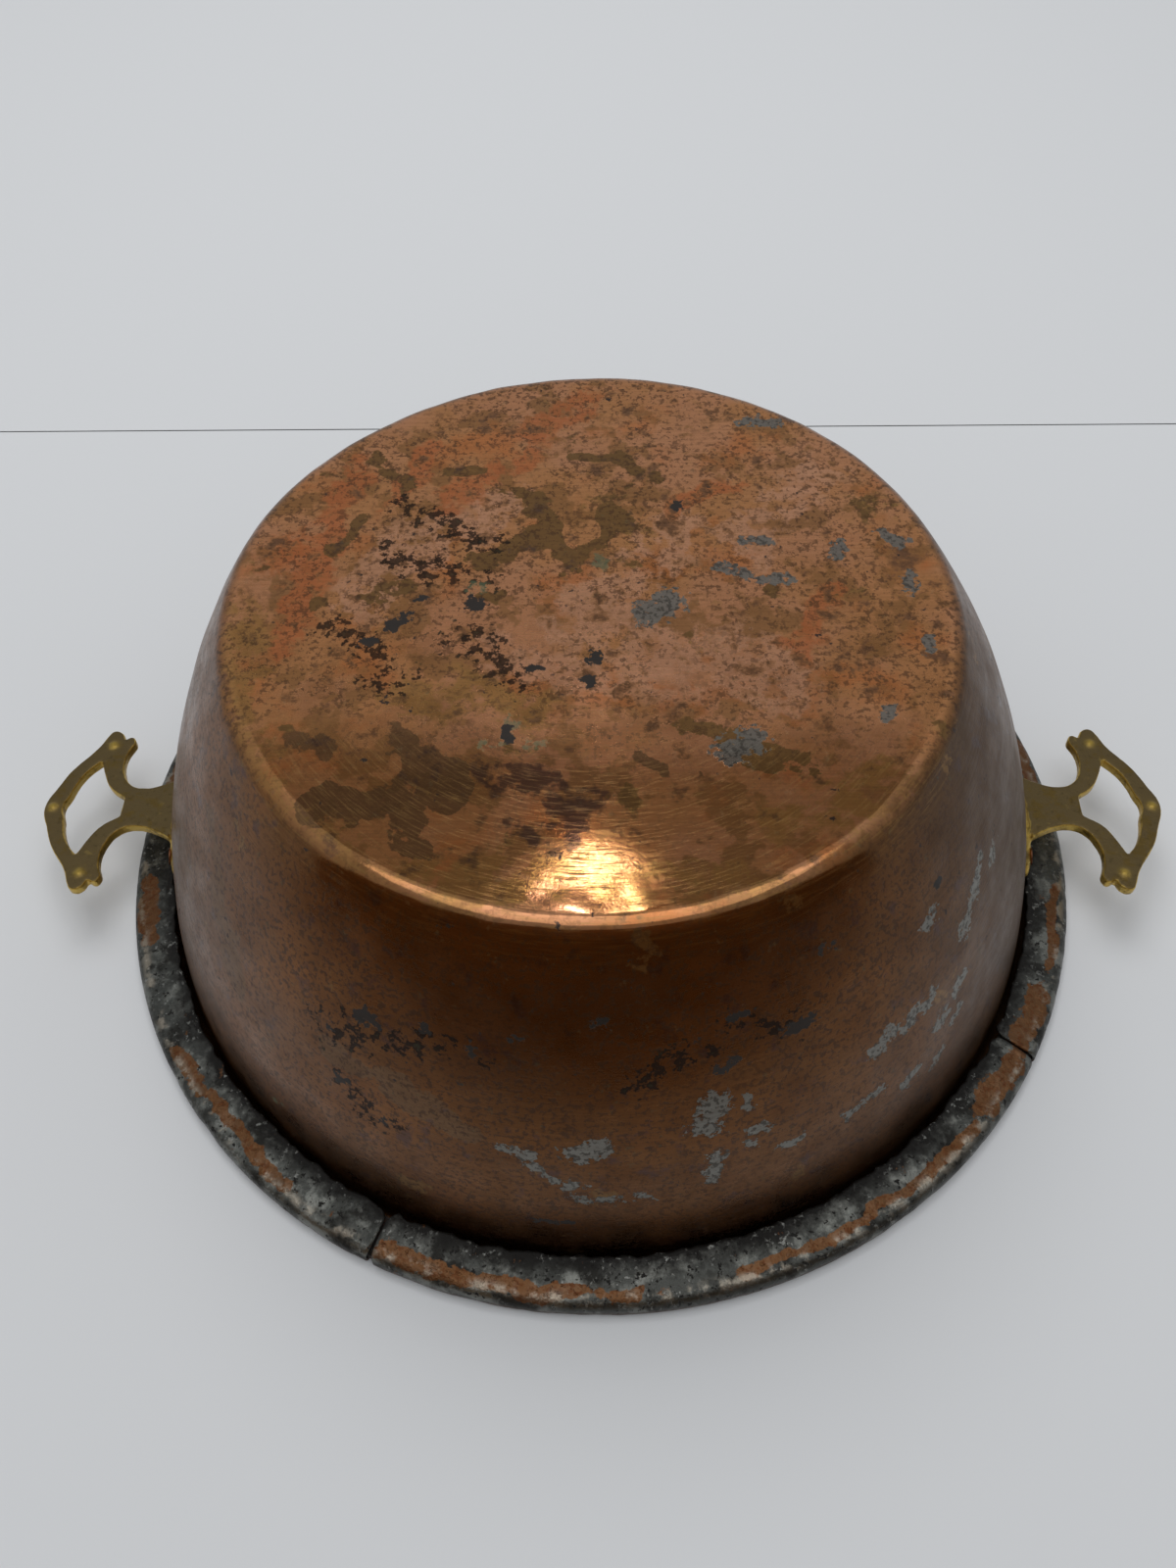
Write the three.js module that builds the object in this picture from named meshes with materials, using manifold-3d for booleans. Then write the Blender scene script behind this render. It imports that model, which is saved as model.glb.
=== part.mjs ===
// A hammered copper bowl with a bound rim and two cast brass handles.
// Millimetres, +Z up. The bowl stands on its rim with the base up, as it is kept: the origin is on
// its axis, in the plane that the rim rests on, and the handles lie along +X and -X.
import * as THREE from "three";
import { mergeVertices } from "three/addons/utils/BufferGeometryUtils.js";
import Module from "manifold-3d";

const wasm = await Module();
wasm.setup();

// ---- Driving dimensions ----

// Bowl: one sheet of copper, beaten into a base, a wall and a flange turned outwards.
const BOWL_HEIGHT = 150; // resting plane of the rim to the outer face of the base
const BASE_RADIUS = 127; // corner between base and wall, before its bend
const WALL_FOOT_RADIUS = 180; // middle of the wall's sheet where it reaches the flange
const WALL_BULGE = 9.5; // how far the wall bows out from a straight cone
const BOWL_SHEET = 1.5; // thickness of the copper
const CREASE_REACH = 7; // length of the bend between base and wall, on either side of its corner
const FOOT_REACH = 4; // length of the bend between wall and flange

// Rim: an iron hoop on the flange, bound by strips of tinned copper.
const RIM_RADIUS = 200; // outer edge of the strips
const FLANGE_INSET = 4; // from the rim's outer edge in to the edge of the flange
const STRIP_SHEET = 1; // thickness of the strips
const STRIP_LIP = 14; // how far a strip reaches back under the flange
const STRIP_WALL_GAP = 1.5; // open joint between a strip's inner edge and the wall
const BAND_HEIGHT = 11; // top of the strips beside the wall
const SHOULDER_HEIGHT = 9; // top of the strips at their outer shoulder
const SHOULDER_INSET = 5; // from the rim's outer edge in to that shoulder
const EDGE_ROUND = 3.5; // bend at the foot of the strips' outer face
const SEAM_ANGLES = [-114, -32, 60, 153]; // where the strips butt, degrees from +X
const SEAM_GAP = 1; // width of each butt joint
const HOOP_JOINT_ANGLE = 100; // where the hoop's two ends meet, degrees from +X
const HOOP_JOINT_GAP = 1.5;

// Handles: flat brass castings, each a blade in plan with a plate that hugs the wall.
const BLADE_THICKNESS = 5;
const BLADE_RISE = 11; // lower edge of the plate to the middle of the blade
const GRIP_REACH = 60; // wall to the outer point of the grip
const GRIP_WIDTH = 7.5; // width of the grip's bar
const HANDLE_SPAN = 77; // over the lobes at both ends
const NECK_LENGTH = 20; // wall to the narrowest part of the neck
const NECK_WIDTH = 20; // at its narrowest part
const NECK_FLARE = 5; // how much wider each side of the neck is at the plate
const BOSS_RADIUS = 2.6; // studs on the upper face of the blade
const BOSS_HEIGHT = 1.2;
const PLATE_THICKNESS = 3.5;
const PLATE_SPAN = 58; // over the tips of both wings, along the wall
const PLATE_RISE = 2.5; // top of the strips to the lower edge of the plate
const PLATE_DEPTH = 17.5; // height of the plate behind the neck
const WING_TIP_DEPTH = 9; // height of a wing at its tip

// Rivets: domed heads inside the bowl, hammered flush into countersinks outside.
const RIVET_RADIUS = 2.5;
const RIVET_HEAD_RADIUS = 4.8;
const RIVET_HEAD_HEIGHT = 2.2;
const RIVET_SINK_RADIUS = 3.9;
const RIVET_SINK_DEPTH = 1.4;
const RIVET_OFFSET = 20; // from the middle of the handle to a rivet, along the wall
const RIVET_RISE = 5; // lower edge of the plate to a rivet

const CLEARANCE = 0.3; // between pieces that touch
const ROUND_STEPS = 64; // flat facets in a full turn
const ROD_STEPS = 12; // flat facets in a turn of a rivet
const BEND_STEPS = 3;
const WALL_STEPS = 6;

// ---- Materials ----

const copper = new THREE.MeshStandardMaterial({ color: 0xa86842, roughness: 0.38, metalness: 1 });
const tinnedCopper = new THREE.MeshStandardMaterial({ color: 0x5b534c, roughness: 0.55, metalness: 1 });
const iron = new THREE.MeshStandardMaterial({ color: 0x3a3531, roughness: 0.75, metalness: 1 });
const brass = new THREE.MeshStandardMaterial({ color: 0x7d6a33, roughness: 0.45, metalness: 1 });
const rivetCopper = new THREE.MeshStandardMaterial({ color: 0x9a6a45, roughness: 0.5, metalness: 1 });

// ---- Solids ----

const radians = THREE.MathUtils.degToRad;

// A closed three.js geometry as a solid that can be joined and cut.
function solid(geometry) {
  const bare = geometry.clone();
  bare.deleteAttribute("normal");
  bare.deleteAttribute("uv");
  const merged = mergeVertices(bare, 1e-4);
  return new wasm.Manifold(
    new wasm.Mesh({
      numProp: 3,
      vertProperties: merged.attributes.position.array,
      triVerts: new Uint32Array(merged.index.array),
    }),
  );
}

function geometryOf(body) {
  const mesh = body.getMesh();
  const geometry = new THREE.BufferGeometry();
  geometry.setAttribute("position", new THREE.BufferAttribute(mesh.vertProperties, 3));
  geometry.setIndex(new THREE.BufferAttribute(mesh.triVerts, 1));
  geometry.computeVertexNormals();
  return geometry;
}

// A profile of (radius, height) points, turned about the bowl's axis.
function turned(profile, steps = ROUND_STEPS) {
  return new THREE.LatheGeometry(profile, steps).rotateX(Math.PI / 2);
}

// A flat outline in plan, raised from one height to another.
function raised(shape, bottom, top) {
  return new THREE.ExtrudeGeometry(shape, { depth: top - bottom, bevelEnabled: false }).translate(0, 0, bottom);
}

function point(x, y) {
  return new THREE.Vector2(x, y);
}

// The line that keeps a distance to the left of another line, with mitred corners.
function offsetLine(line, distance) {
  return line.map((here, i) => {
    const before = line[Math.max(i - 1, 0)];
    const after = line[Math.min(i + 1, line.length - 1)];
    const arriving = (i ? here.clone().sub(before) : after.clone().sub(here)).normalize();
    const leaving = (i < line.length - 1 ? after.clone().sub(here) : arriving.clone()).normalize();
    const along = arriving.clone().add(leaving).normalize();
    const reach = distance / along.dot(arriving);
    return point(here.x - along.y * reach, here.y + along.x * reach);
  });
}

// The closed outline of a bent sheet, given the line along its middle; it turns to the left.
function sheetOutline(line, thickness) {
  const left = offsetLine(line, thickness / 2);
  const right = offsetLine(line, -thickness / 2);
  return [...right, ...left.reverse()];
}

function closed(outline) {
  return [...outline, outline[0].clone()];
}

// ---- Bowl body ----

const flangeMiddle = STRIP_SHEET + CLEARANCE + BOWL_SHEET / 2;
const baseMiddle = BOWL_HEIGHT - BOWL_SHEET / 2;
const corner = point(BASE_RADIUS, baseMiddle);
const foot = point(WALL_FOOT_RADIUS, flangeMiddle);

// The wall's middle line is an arc from the corner to the foot.
const wallChord = corner.distanceTo(foot);
const wallRadius = (wallChord ** 2 / 4 + WALL_BULGE ** 2) / (2 * WALL_BULGE);
const wallSlope = Math.atan2(foot.x - corner.x, corner.y - foot.y);
const wallCentre = corner
  .clone()
  .add(foot)
  .multiplyScalar(0.5)
  .add(point(-Math.cos(wallSlope), -Math.sin(wallSlope)).multiplyScalar(wallRadius - WALL_BULGE));
const cornerTurn = Math.atan2(corner.y - wallCentre.y, corner.x - wallCentre.x);
const footTurn = Math.atan2(foot.y - wallCentre.y, foot.x - wallCentre.x);
const wallTop = cornerTurn - CREASE_REACH / wallRadius;
const wallBottom = footTurn + FOOT_REACH / wallRadius;

function wallPoint(turn, offset = 0) {
  const reach = wallRadius + offset;
  return point(wallCentre.x + Math.cos(turn) * reach, wallCentre.y + Math.sin(turn) * reach);
}

// Where the wall's surface, moved out by an offset, passes a height.
function wallTurnAt(height, offset = 0) {
  return Math.asin((height - wallCentre.y) / (wallRadius + offset));
}

function bowlLine() {
  const line = new THREE.Path();
  line.moveTo(0, baseMiddle);
  line.lineTo(BASE_RADIUS - CREASE_REACH, baseMiddle);
  line.quadraticCurveTo(corner.x, corner.y, wallPoint(wallTop).x, wallPoint(wallTop).y);
  const bends = [line.getPoints(BEND_STEPS)];
  const wall = new THREE.EllipseCurve(
    wallCentre.x, wallCentre.y, wallRadius, wallRadius, wallTop, wallBottom, true,
  );
  bends.push(wall.getPoints(WALL_STEPS).slice(1));
  const flange = new THREE.Path();
  flange.moveTo(wallPoint(wallBottom).x, wallPoint(wallBottom).y);
  flange.quadraticCurveTo(foot.x, foot.y, foot.x + FOOT_REACH, foot.y);
  flange.lineTo(RIM_RADIUS - FLANGE_INSET, flangeMiddle);
  bends.push(flange.getPoints(BEND_STEPS).slice(1));
  return bends.flat();
}

// ---- Rim ----

const stripInner = wallPoint(wallTurnAt(BAND_HEIGHT), BOWL_SHEET / 2).x + STRIP_WALL_GAP;

// The strips' middle line: from the lip under the flange, round the outer edge, to the wall.
function stripLine() {
  const half = STRIP_SHEET / 2;
  const outer = RIM_RADIUS - half;
  const line = new THREE.Path();
  line.moveTo(RIM_RADIUS - STRIP_LIP, half);
  line.lineTo(RIM_RADIUS - EDGE_ROUND, half);
  line.quadraticCurveTo(outer, half, outer, EDGE_ROUND);
  line.quadraticCurveTo(outer, SHOULDER_HEIGHT - half, RIM_RADIUS - SHOULDER_INSET, SHOULDER_HEIGHT - half);
  line.lineTo(stripInner, BAND_HEIGHT - half);
  return line.getPoints(BEND_STEPS);
}

// The hoop fills the room between the flange, the bend at the wall's foot and the strips.
function hoopOutline() {
  const bottom = flangeMiddle + BOWL_SHEET / 2 + CLEARANCE;
  const inner = WALL_FOOT_RADIUS + FOOT_REACH + CLEARANCE;
  const lining = offsetLine(stripLine(), STRIP_SHEET / 2 + CLEARANCE);
  const over = lining.filter((p) => p.y > bottom && p.x > inner);
  const slope = (BAND_HEIGHT - SHOULDER_HEIGHT) / (RIM_RADIUS - SHOULDER_INSET - stripInner);
  const shoulder = over[over.length - 1];
  const innerTop = shoulder.y + (shoulder.x - inner) * slope;
  return [point(inner, bottom), point(over[0].x, bottom), ...over, point(inner, innerTop)];
}

// A wedge in plan between two angles, wide enough to hold the rim.
function wedge(from, to) {
  const reach = RIM_RADIUS * 1.5;
  const shape = new THREE.Shape();
  shape.moveTo(0, 0);
  const arms = Math.ceil((to - from) / 45);
  for (let i = 0; i <= arms; i++) {
    const angle = radians(from + ((to - from) * i) / arms);
    shape.lineTo(Math.cos(angle) * reach, Math.sin(angle) * reach);
  }
  return solid(raised(shape, -BAND_HEIGHT, 2 * BAND_HEIGHT));
}

function degreesAtRim(length) {
  return THREE.MathUtils.radToDeg(length / RIM_RADIUS);
}

// ---- Handles ----

const plateBottom = BAND_HEIGHT + PLATE_RISE;
const plateTop = plateBottom + PLATE_DEPTH;
const bladeMiddle = plateBottom + BLADE_RISE;
const wallAtHandle = wallPoint(wallTurnAt(bladeMiddle), BOWL_SHEET / 2).x;
const plateInner = BOWL_SHEET / 2 + CLEARANCE;
const plateOuter = plateInner + PLATE_THICKNESS;

// Stations of one half of the handle: x outwards from the wall, y along it.
const lobeReach = GRIP_REACH * 0.62;
const lobeSide = HANDLE_SPAN / 2 - BOSS_RADIUS;
const neckSide = NECK_WIDTH / 2;
const armSide = HANDLE_SPAN / 2 - GRIP_WIDTH;
const innerGrip = GRIP_REACH - GRIP_WIDTH;
const windowCorner = point(lobeReach + 4, HANDLE_SPAN * 0.31);

// The outer outline, from the neck's root round one arm to the point of the grip.
function outerHalf() {
  const half = new THREE.Path();
  half.moveTo(plateInner + 1, neckSide + NECK_FLARE);
  half.quadraticCurveTo(NECK_LENGTH * 0.4, neckSide, NECK_LENGTH, neckSide);
  half.quadraticCurveTo(lobeReach - GRIP_WIDTH, neckSide + 2, lobeReach - GRIP_WIDTH, armSide);
  half.lineTo(lobeReach - GRIP_WIDTH - 2, lobeSide - 2);
  half.quadraticCurveTo(lobeReach - GRIP_WIDTH - 1, lobeSide + 1, lobeReach - 4, lobeSide - 2);
  half.quadraticCurveTo(lobeReach - 1, HANDLE_SPAN / 2 + 2, lobeReach + 3.5, lobeSide);
  half.lineTo(lobeReach + GRIP_WIDTH, armSide);
  half.quadraticCurveTo(GRIP_REACH - 5, HANDLE_SPAN / 4, GRIP_REACH - 1, BOSS_RADIUS);
  half.lineTo(GRIP_REACH, 0);
  return half.getPoints(BEND_STEPS);
}

// The window between neck, arms and grip, from the neck to the middle of the grip.
function windowHalf() {
  const half = new THREE.Path();
  half.moveTo(NECK_LENGTH + 6, 0);
  half.lineTo(NECK_LENGTH + 7, neckSide / 2);
  half.quadraticCurveTo(lobeReach, neckSide, windowCorner.x, windowCorner.y);
  half.quadraticCurveTo(innerGrip - 3, HANDLE_SPAN * 0.2, innerGrip - 1, BOSS_RADIUS + 2);
  half.lineTo(innerGrip - 2.5, 0);
  return half.getPoints(BEND_STEPS);
}

// A half outline and its mirror image across the handle's middle, as one loop turning to the left.
function mirrored(half) {
  const joined = [...half.map((p) => point(p.x, -p.y)), ...half.reverse()];
  return joined.filter((p, i) => p.distanceTo(joined[(i + 1) % joined.length]) > 1e-6);
}

// Studs on the blade: one at the point of the grip and one at each end of it.
function bossPlaces() {
  const side = HANDLE_SPAN / 2 - 6;
  return [point(GRIP_REACH - 4, 0), point(lobeReach + 1, side), point(lobeReach + 1, -side)];
}

function blade() {
  const bottom = bladeMiddle - BLADE_THICKNESS / 2;
  const top = bladeMiddle + BLADE_THICKNESS / 2;
  const shape = new THREE.Shape(mirrored(outerHalf()));
  shape.holes.push(new THREE.Path(mirrored(windowHalf())));
  let body = solid(raised(shape, bottom, top).translate(wallAtHandle, 0, 0));
  for (const place of bossPlaces()) {
    const dome = new THREE.SphereGeometry(1, ROD_STEPS, ROD_STEPS / 2);
    dome.rotateX(Math.PI / 2).scale(BOSS_RADIUS, BOSS_RADIUS, BOSS_HEIGHT);
    body = body.add(solid(dome.translate(wallAtHandle + place.x, place.y, top)));
  }
  return body;
}

// The plate follows the wall; its two wings taper away from the neck.
function wallPlate() {
  const steps = 4;
  const inside = [];
  const outside = [];
  for (let i = 0; i <= steps; i++) {
    const height = plateBottom + (PLATE_DEPTH * i) / steps;
    const turn = wallTurnAt(height);
    inside.push(wallPoint(turn, plateInner));
    outside.push(wallPoint(turn, plateOuter));
  }
  const ring = solid(turned(closed([...outside, ...inside.reverse()])));
  const outline = new THREE.Shape();
  const root = neckSide + NECK_FLARE;
  const tip = PLATE_SPAN / 2;
  const above = plateTop + BLADE_THICKNESS;
  const below = plateBottom - BLADE_THICKNESS;
  const tipTop = plateBottom + WING_TIP_DEPTH;
  outline.moveTo(-tip, below);
  outline.lineTo(tip, below);
  outline.lineTo(tip, tipTop - 3);
  outline.quadraticCurveTo(tip, tipTop, tip - 4, tipTop + 0.5);
  outline.quadraticCurveTo(root + 2, tipTop + 2, root - 4, plateTop);
  outline.lineTo(root - 4, above);
  outline.lineTo(4 - root, above);
  outline.lineTo(4 - root, plateTop);
  outline.quadraticCurveTo(-root - 2, tipTop + 2, 4 - tip, tipTop + 0.5);
  outline.quadraticCurveTo(-tip, tipTop, -tip, tipTop - 3);
  outline.closePath();
  const cutter = new THREE.ExtrudeGeometry(outline, {
    depth: RIM_RADIUS,
    bevelEnabled: false,
    curveSegments: BEND_STEPS,
  });
  // The outline's x runs along the wall and its y upwards; it is pushed out along +X.
  cutter.rotateX(Math.PI / 2).rotateZ(Math.PI / 2);
  return ring.intersect(solid(cutter));
}

// ---- Rivets ----

const gripOfRivet = BOWL_SHEET + CLEARANCE + PLATE_THICKNESS;

// How far the middle of one of the wall's flat facets lies inside the true curve.
const facetSag =
  WALL_FOOT_RADIUS * (1 - Math.cos(Math.PI / ROUND_STEPS)) +
  (wallChord / WALL_STEPS) ** 2 / (8 * wallRadius);
const headSeat = -CLEARANCE - facetSag;

// A rivet along +Z, with z = 0 on the inner face of the wall and room on every side of it.
function rivetShank(start, room) {
  return [
    point(RIVET_RADIUS + room, start),
    point(RIVET_RADIUS + room, gripOfRivet - RIVET_SINK_DEPTH),
    point(RIVET_SINK_RADIUS + 2 * room, gripOfRivet + room),
    point(0, gripOfRivet + room),
  ];
}

function rivetGeometry() {
  const dome = [];
  for (let i = 0; i <= BEND_STEPS; i++) {
    const turn = (Math.PI / 2) * (i / BEND_STEPS);
    const radius = RIVET_HEAD_RADIUS * Math.sin(turn);
    dome.push(point(radius, headSeat - RIVET_HEAD_HEIGHT * Math.cos(turn)));
  }
  return turned([...dome, ...rivetShank(headSeat, 0)], ROD_STEPS);
}

// The room that a rivet needs through the wall and the plate.
function rivetHole() {
  const start = -2 * BOWL_SHEET;
  return turned([point(0, start), ...rivetShank(start, CLEARANCE)], ROD_STEPS);
}

// Where a rivet stands: on the wall's inner face, square to it. Side is 1 or -1 along Y.
function rivetPlace(side) {
  const turn = wallTurnAt(plateBottom + RIVET_RISE);
  const start = wallPoint(turn, -BOWL_SHEET / 2);
  const around = (side * RIVET_OFFSET) / wallAtHandle;
  const place = new THREE.Matrix4().makeRotationZ(around);
  place.multiply(new THREE.Matrix4().makeTranslation(start.x, 0, start.y));
  place.multiply(new THREE.Matrix4().makeRotationY(Math.PI / 2 - turn));
  return place;
}

// ---- Assembly ----

const bowl = new THREE.Group();

function addPiece(name, geometry, material, parent = bowl) {
  const mesh = new THREE.Mesh(geometry, material);
  mesh.name = name;
  parent.add(mesh);
  return mesh;
}

const handleSides = [["right", 0], ["left", Math.PI]];
const rivetSides = [-1, 1];

function bowlBody() {
  let body = solid(turned(sheetOutline(bowlLine(), BOWL_SHEET)));
  for (const [, turn] of handleSides) {
    for (const side of rivetSides) {
      const place = new THREE.Matrix4().makeRotationZ(turn).multiply(rivetPlace(side));
      body = body.subtract(solid(rivetHole().applyMatrix4(place)));
    }
  }
  return body;
}

function handle() {
  let body = blade().add(wallPlate());
  for (const side of rivetSides) {
    body = body.subtract(solid(rivetHole().applyMatrix4(rivetPlace(side))));
  }
  return body;
}

addPiece("bowl_body", geometryOf(bowlBody()), copper);

const hoopJoint = degreesAtRim(HOOP_JOINT_GAP / 2);
const hoop = solid(turned(closed(hoopOutline())));
const joint = wedge(HOOP_JOINT_ANGLE - hoopJoint, HOOP_JOINT_ANGLE + hoopJoint);
addPiece("rim_hoop", geometryOf(hoop.subtract(joint)), iron);

const binding = solid(turned(closed(sheetOutline(stripLine(), STRIP_SHEET))));
SEAM_ANGLES.forEach((from, i) => {
  const last = i === SEAM_ANGLES.length - 1;
  const to = last ? SEAM_ANGLES[0] + 360 : SEAM_ANGLES[i + 1];
  const half = degreesAtRim(SEAM_GAP / 2);
  const strip = binding.intersect(wedge(from + half, to - half));
  addPiece(`rim_strip_${i + 1}`, geometryOf(strip), tinnedCopper);
});

const handleGeometry = geometryOf(handle());
for (const [sideName, turn] of handleSides) {
  const mount = new THREE.Group();
  mount.rotation.z = turn;
  bowl.add(mount);
  addPiece(`handle_${sideName}`, handleGeometry, brass, mount);
  for (const side of rivetSides) {
    const rivet = addPiece(`rivet_${sideName}_${side > 0 ? "a" : "b"}`, rivetGeometry(), rivetCopper, mount);
    rivet.applyMatrix4(rivetPlace(side));
  }
}

export default bowl;
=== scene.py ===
import math

import bmesh
import bpy
import numpy as np
from mathutils import Matrix, Vector, noise


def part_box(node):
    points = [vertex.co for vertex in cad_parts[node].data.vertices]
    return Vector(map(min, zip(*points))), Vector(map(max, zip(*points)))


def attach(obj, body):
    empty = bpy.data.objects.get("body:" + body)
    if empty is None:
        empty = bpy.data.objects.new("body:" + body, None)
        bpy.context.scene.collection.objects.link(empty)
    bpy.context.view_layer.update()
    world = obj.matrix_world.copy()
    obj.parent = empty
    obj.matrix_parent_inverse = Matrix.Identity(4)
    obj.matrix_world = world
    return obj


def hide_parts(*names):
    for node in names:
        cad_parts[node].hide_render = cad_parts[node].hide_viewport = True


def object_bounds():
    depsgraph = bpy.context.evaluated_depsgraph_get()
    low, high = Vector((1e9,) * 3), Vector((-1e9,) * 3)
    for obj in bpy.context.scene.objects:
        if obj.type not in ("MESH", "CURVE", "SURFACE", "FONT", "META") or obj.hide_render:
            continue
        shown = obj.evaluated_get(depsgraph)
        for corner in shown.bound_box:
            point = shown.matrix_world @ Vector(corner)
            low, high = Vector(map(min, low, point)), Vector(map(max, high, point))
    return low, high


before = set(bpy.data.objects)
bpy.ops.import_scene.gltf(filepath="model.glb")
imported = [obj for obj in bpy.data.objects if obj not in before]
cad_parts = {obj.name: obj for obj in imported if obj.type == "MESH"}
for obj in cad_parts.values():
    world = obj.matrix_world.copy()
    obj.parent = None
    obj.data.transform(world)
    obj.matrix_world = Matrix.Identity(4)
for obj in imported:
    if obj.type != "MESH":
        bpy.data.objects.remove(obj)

cad_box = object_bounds()
MM = 0.001
UP = Vector((0, 0, 1))

# ---- Sizes, in metres, in the frame's own axes ----

RIM_RADIUS = cad_box[1][1]  # outer edge of the bound rim
BOWL_HEIGHT = cad_box[1][2]  # table to the outer face of the base
BAND_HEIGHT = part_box("rim_strip_1")[1][2]  # top of the rim strips beside the wall
BASE_RADIUS = 127 * MM  # corner between base and wall, before its bend
WALL_FOOT_RADIUS = 180 * MM  # middle of the sheet where the wall reaches the flange
WALL_BULGE = 9.5 * MM  # how far the wall bows out from a straight cone
BOWL_SHEET = 1.5 * MM
CREASE_REACH = 4.5 * MM
FOOT_REACH = 4 * MM
FLANGE_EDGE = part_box("bowl_body")[1][1]
LEAN = 1.2 * MM  # how far the base sits to the left of the rim's middle
SWELLING = 2.6 * MM  # how far the base is swollen on one side
SWOLLEN_SIDE = 160  # that side's azimuth, in degrees
STRIP_SHEET = 1 * MM
CLEARANCE = 0.3 * MM

STRIP_LIP = 14 * MM
SHOULDER_HEIGHT = 9 * MM
SHOULDER_INSET = 5 * MM
EDGE_ROUND = 3.5 * MM
STRIP_WALL_GAP = 1.5 * MM
SEAM_GAP = 1 * MM
SEAM_ANGLES = [-114, -32, 60, 153]

PLATE_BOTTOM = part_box("handle_right")[0][2]
PLATE_DEPTH = 17.5 * MM
PLATE_THICKNESS = 3.5 * MM
PLATE_SPAN = 58 * MM
WING_TIP_DEPTH = 9 * MM
BLADE_THICKNESS = 5 * MM
BLADE_MIDDLE = PLATE_BOTTOM + 11 * MM
GRIP_REACH = 60 * MM
GRIP_WIDTH = 7.5 * MM
HANDLE_SPAN = 77 * MM
NECK_LENGTH = 20 * MM
NECK_WIDTH = 20 * MM
NECK_FLARE = 5 * MM
BOSS_RADIUS = 2.6 * MM

RIVET_OFFSET = 20 * MM
RIVET_RISE = 5 * MM
RIVET_RADIUS = 2.5 * MM
RIVET_HEAD_RADIUS = 4.8 * MM
RIVET_HEAD_HEIGHT = 2.2 * MM
RIVET_SINK_RADIUS = 3.9 * MM


# ---- Shapes shared by the pieces ----

def bend(start, control, end, steps):
    """Points of a quadratic curve, its start left out."""
    turns = np.linspace(0, 1, steps + 1)[1:, None]
    start, control, end = (np.array(p, float) for p in (start, control, end))
    return list((1 - turns) ** 2 * start + 2 * turns * (1 - turns) * control + turns**2 * end)


def straight(start, end, steps):
    """Points of a straight run, its start left out."""
    turns = np.linspace(0, 1, steps + 1)[1:, None]
    return list(np.array(start) * (1 - turns) + np.array(end) * turns)


def line_normals(line):
    """Unit normals to the left of a line, averaged at its points."""
    along = np.gradient(line, axis=0)
    along /= np.linalg.norm(along, axis=1)[:, None]
    return np.stack([-along[:, 1], along[:, 0]], axis=1)


flange_middle = STRIP_SHEET + CLEARANCE + BOWL_SHEET / 2
base_middle = BOWL_HEIGHT - BOWL_SHEET / 2
corner = np.array([BASE_RADIUS, base_middle])
foot = np.array([WALL_FOOT_RADIUS, flange_middle])
wall_chord = np.linalg.norm(corner - foot)
wall_radius = (wall_chord**2 / 4 + WALL_BULGE**2) / (2 * WALL_BULGE)
wall_slope = math.atan2(foot[0] - corner[0], corner[1] - foot[1])
wall_inward = -np.array([math.cos(wall_slope), math.sin(wall_slope)])
wall_centre = (corner + foot) / 2 + wall_inward * (wall_radius - WALL_BULGE)


def wall_point(turn, offset=0.0):
    reach = wall_radius + offset
    return wall_centre + reach * np.array([math.cos(turn), math.sin(turn)])


def wall_turn(height):
    return math.asin((height - wall_centre[1]) / wall_radius)


def bowl_line(step):
    """The middle of the copper sheet, from the axis over base, crease, wall and foot to the flange's edge."""
    crease_turn = math.atan2(*(corner - wall_centre)[::-1]) - CREASE_REACH / wall_radius
    foot_turn = math.atan2(*(foot - wall_centre)[::-1]) + FOOT_REACH / wall_radius
    base_end = (BASE_RADIUS - CREASE_REACH, base_middle)
    flange_start = (foot[0] + FOOT_REACH, foot[1])
    line = [np.array([0.0, base_middle])]
    line += straight(line[-1], base_end, round(base_end[0] / step))
    line += bend(base_end, corner, wall_point(crease_turn), 10)
    turns = np.linspace(crease_turn, foot_turn, round(wall_chord / step))[1:]
    line += [wall_point(turn) for turn in turns]
    line += bend(wall_point(foot_turn), foot, flange_start, 6)
    line += straight(flange_start, (FLANGE_EDGE, flange_middle), 5)
    return np.array(line)


def mesh_object(name, points, faces):
    mesh = bpy.data.meshes.new(name)
    mesh.from_pydata([tuple(p) for p in points], [], faces)
    body = bpy.data.objects.new(name, mesh)
    bpy.context.scene.collection.objects.link(body)
    return body


def tidy_mesh(mesh, merge=0.0):
    """Merges doubles, turns the faces outwards and shades them smooth."""
    work = bmesh.new()
    work.from_mesh(mesh)
    if merge:
        bmesh.ops.remove_doubles(work, verts=work.verts, dist=merge)
    bmesh.ops.recalc_face_normals(work, faces=work.faces)
    for face in work.faces:
        face.smooth = True
    work.to_mesh(mesh)
    work.free()


def finished(body):
    """The object's evaluated shape as a plain mesh, with no modifier left."""
    graph = bpy.context.evaluated_depsgraph_get()
    mesh = bpy.data.meshes.new_from_object(body.evaluated_get(graph))
    body.modifiers.clear()
    old = body.data
    if isinstance(old, bpy.types.Mesh):
        body.data = mesh
        bpy.data.meshes.remove(old)
        return body
    plain = bpy.data.objects.new(body.name, mesh)
    bpy.context.scene.collection.objects.link(plain)
    name = body.name
    bpy.data.objects.remove(body)
    plain.name = name
    return plain


# ---- Node trees ----

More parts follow.
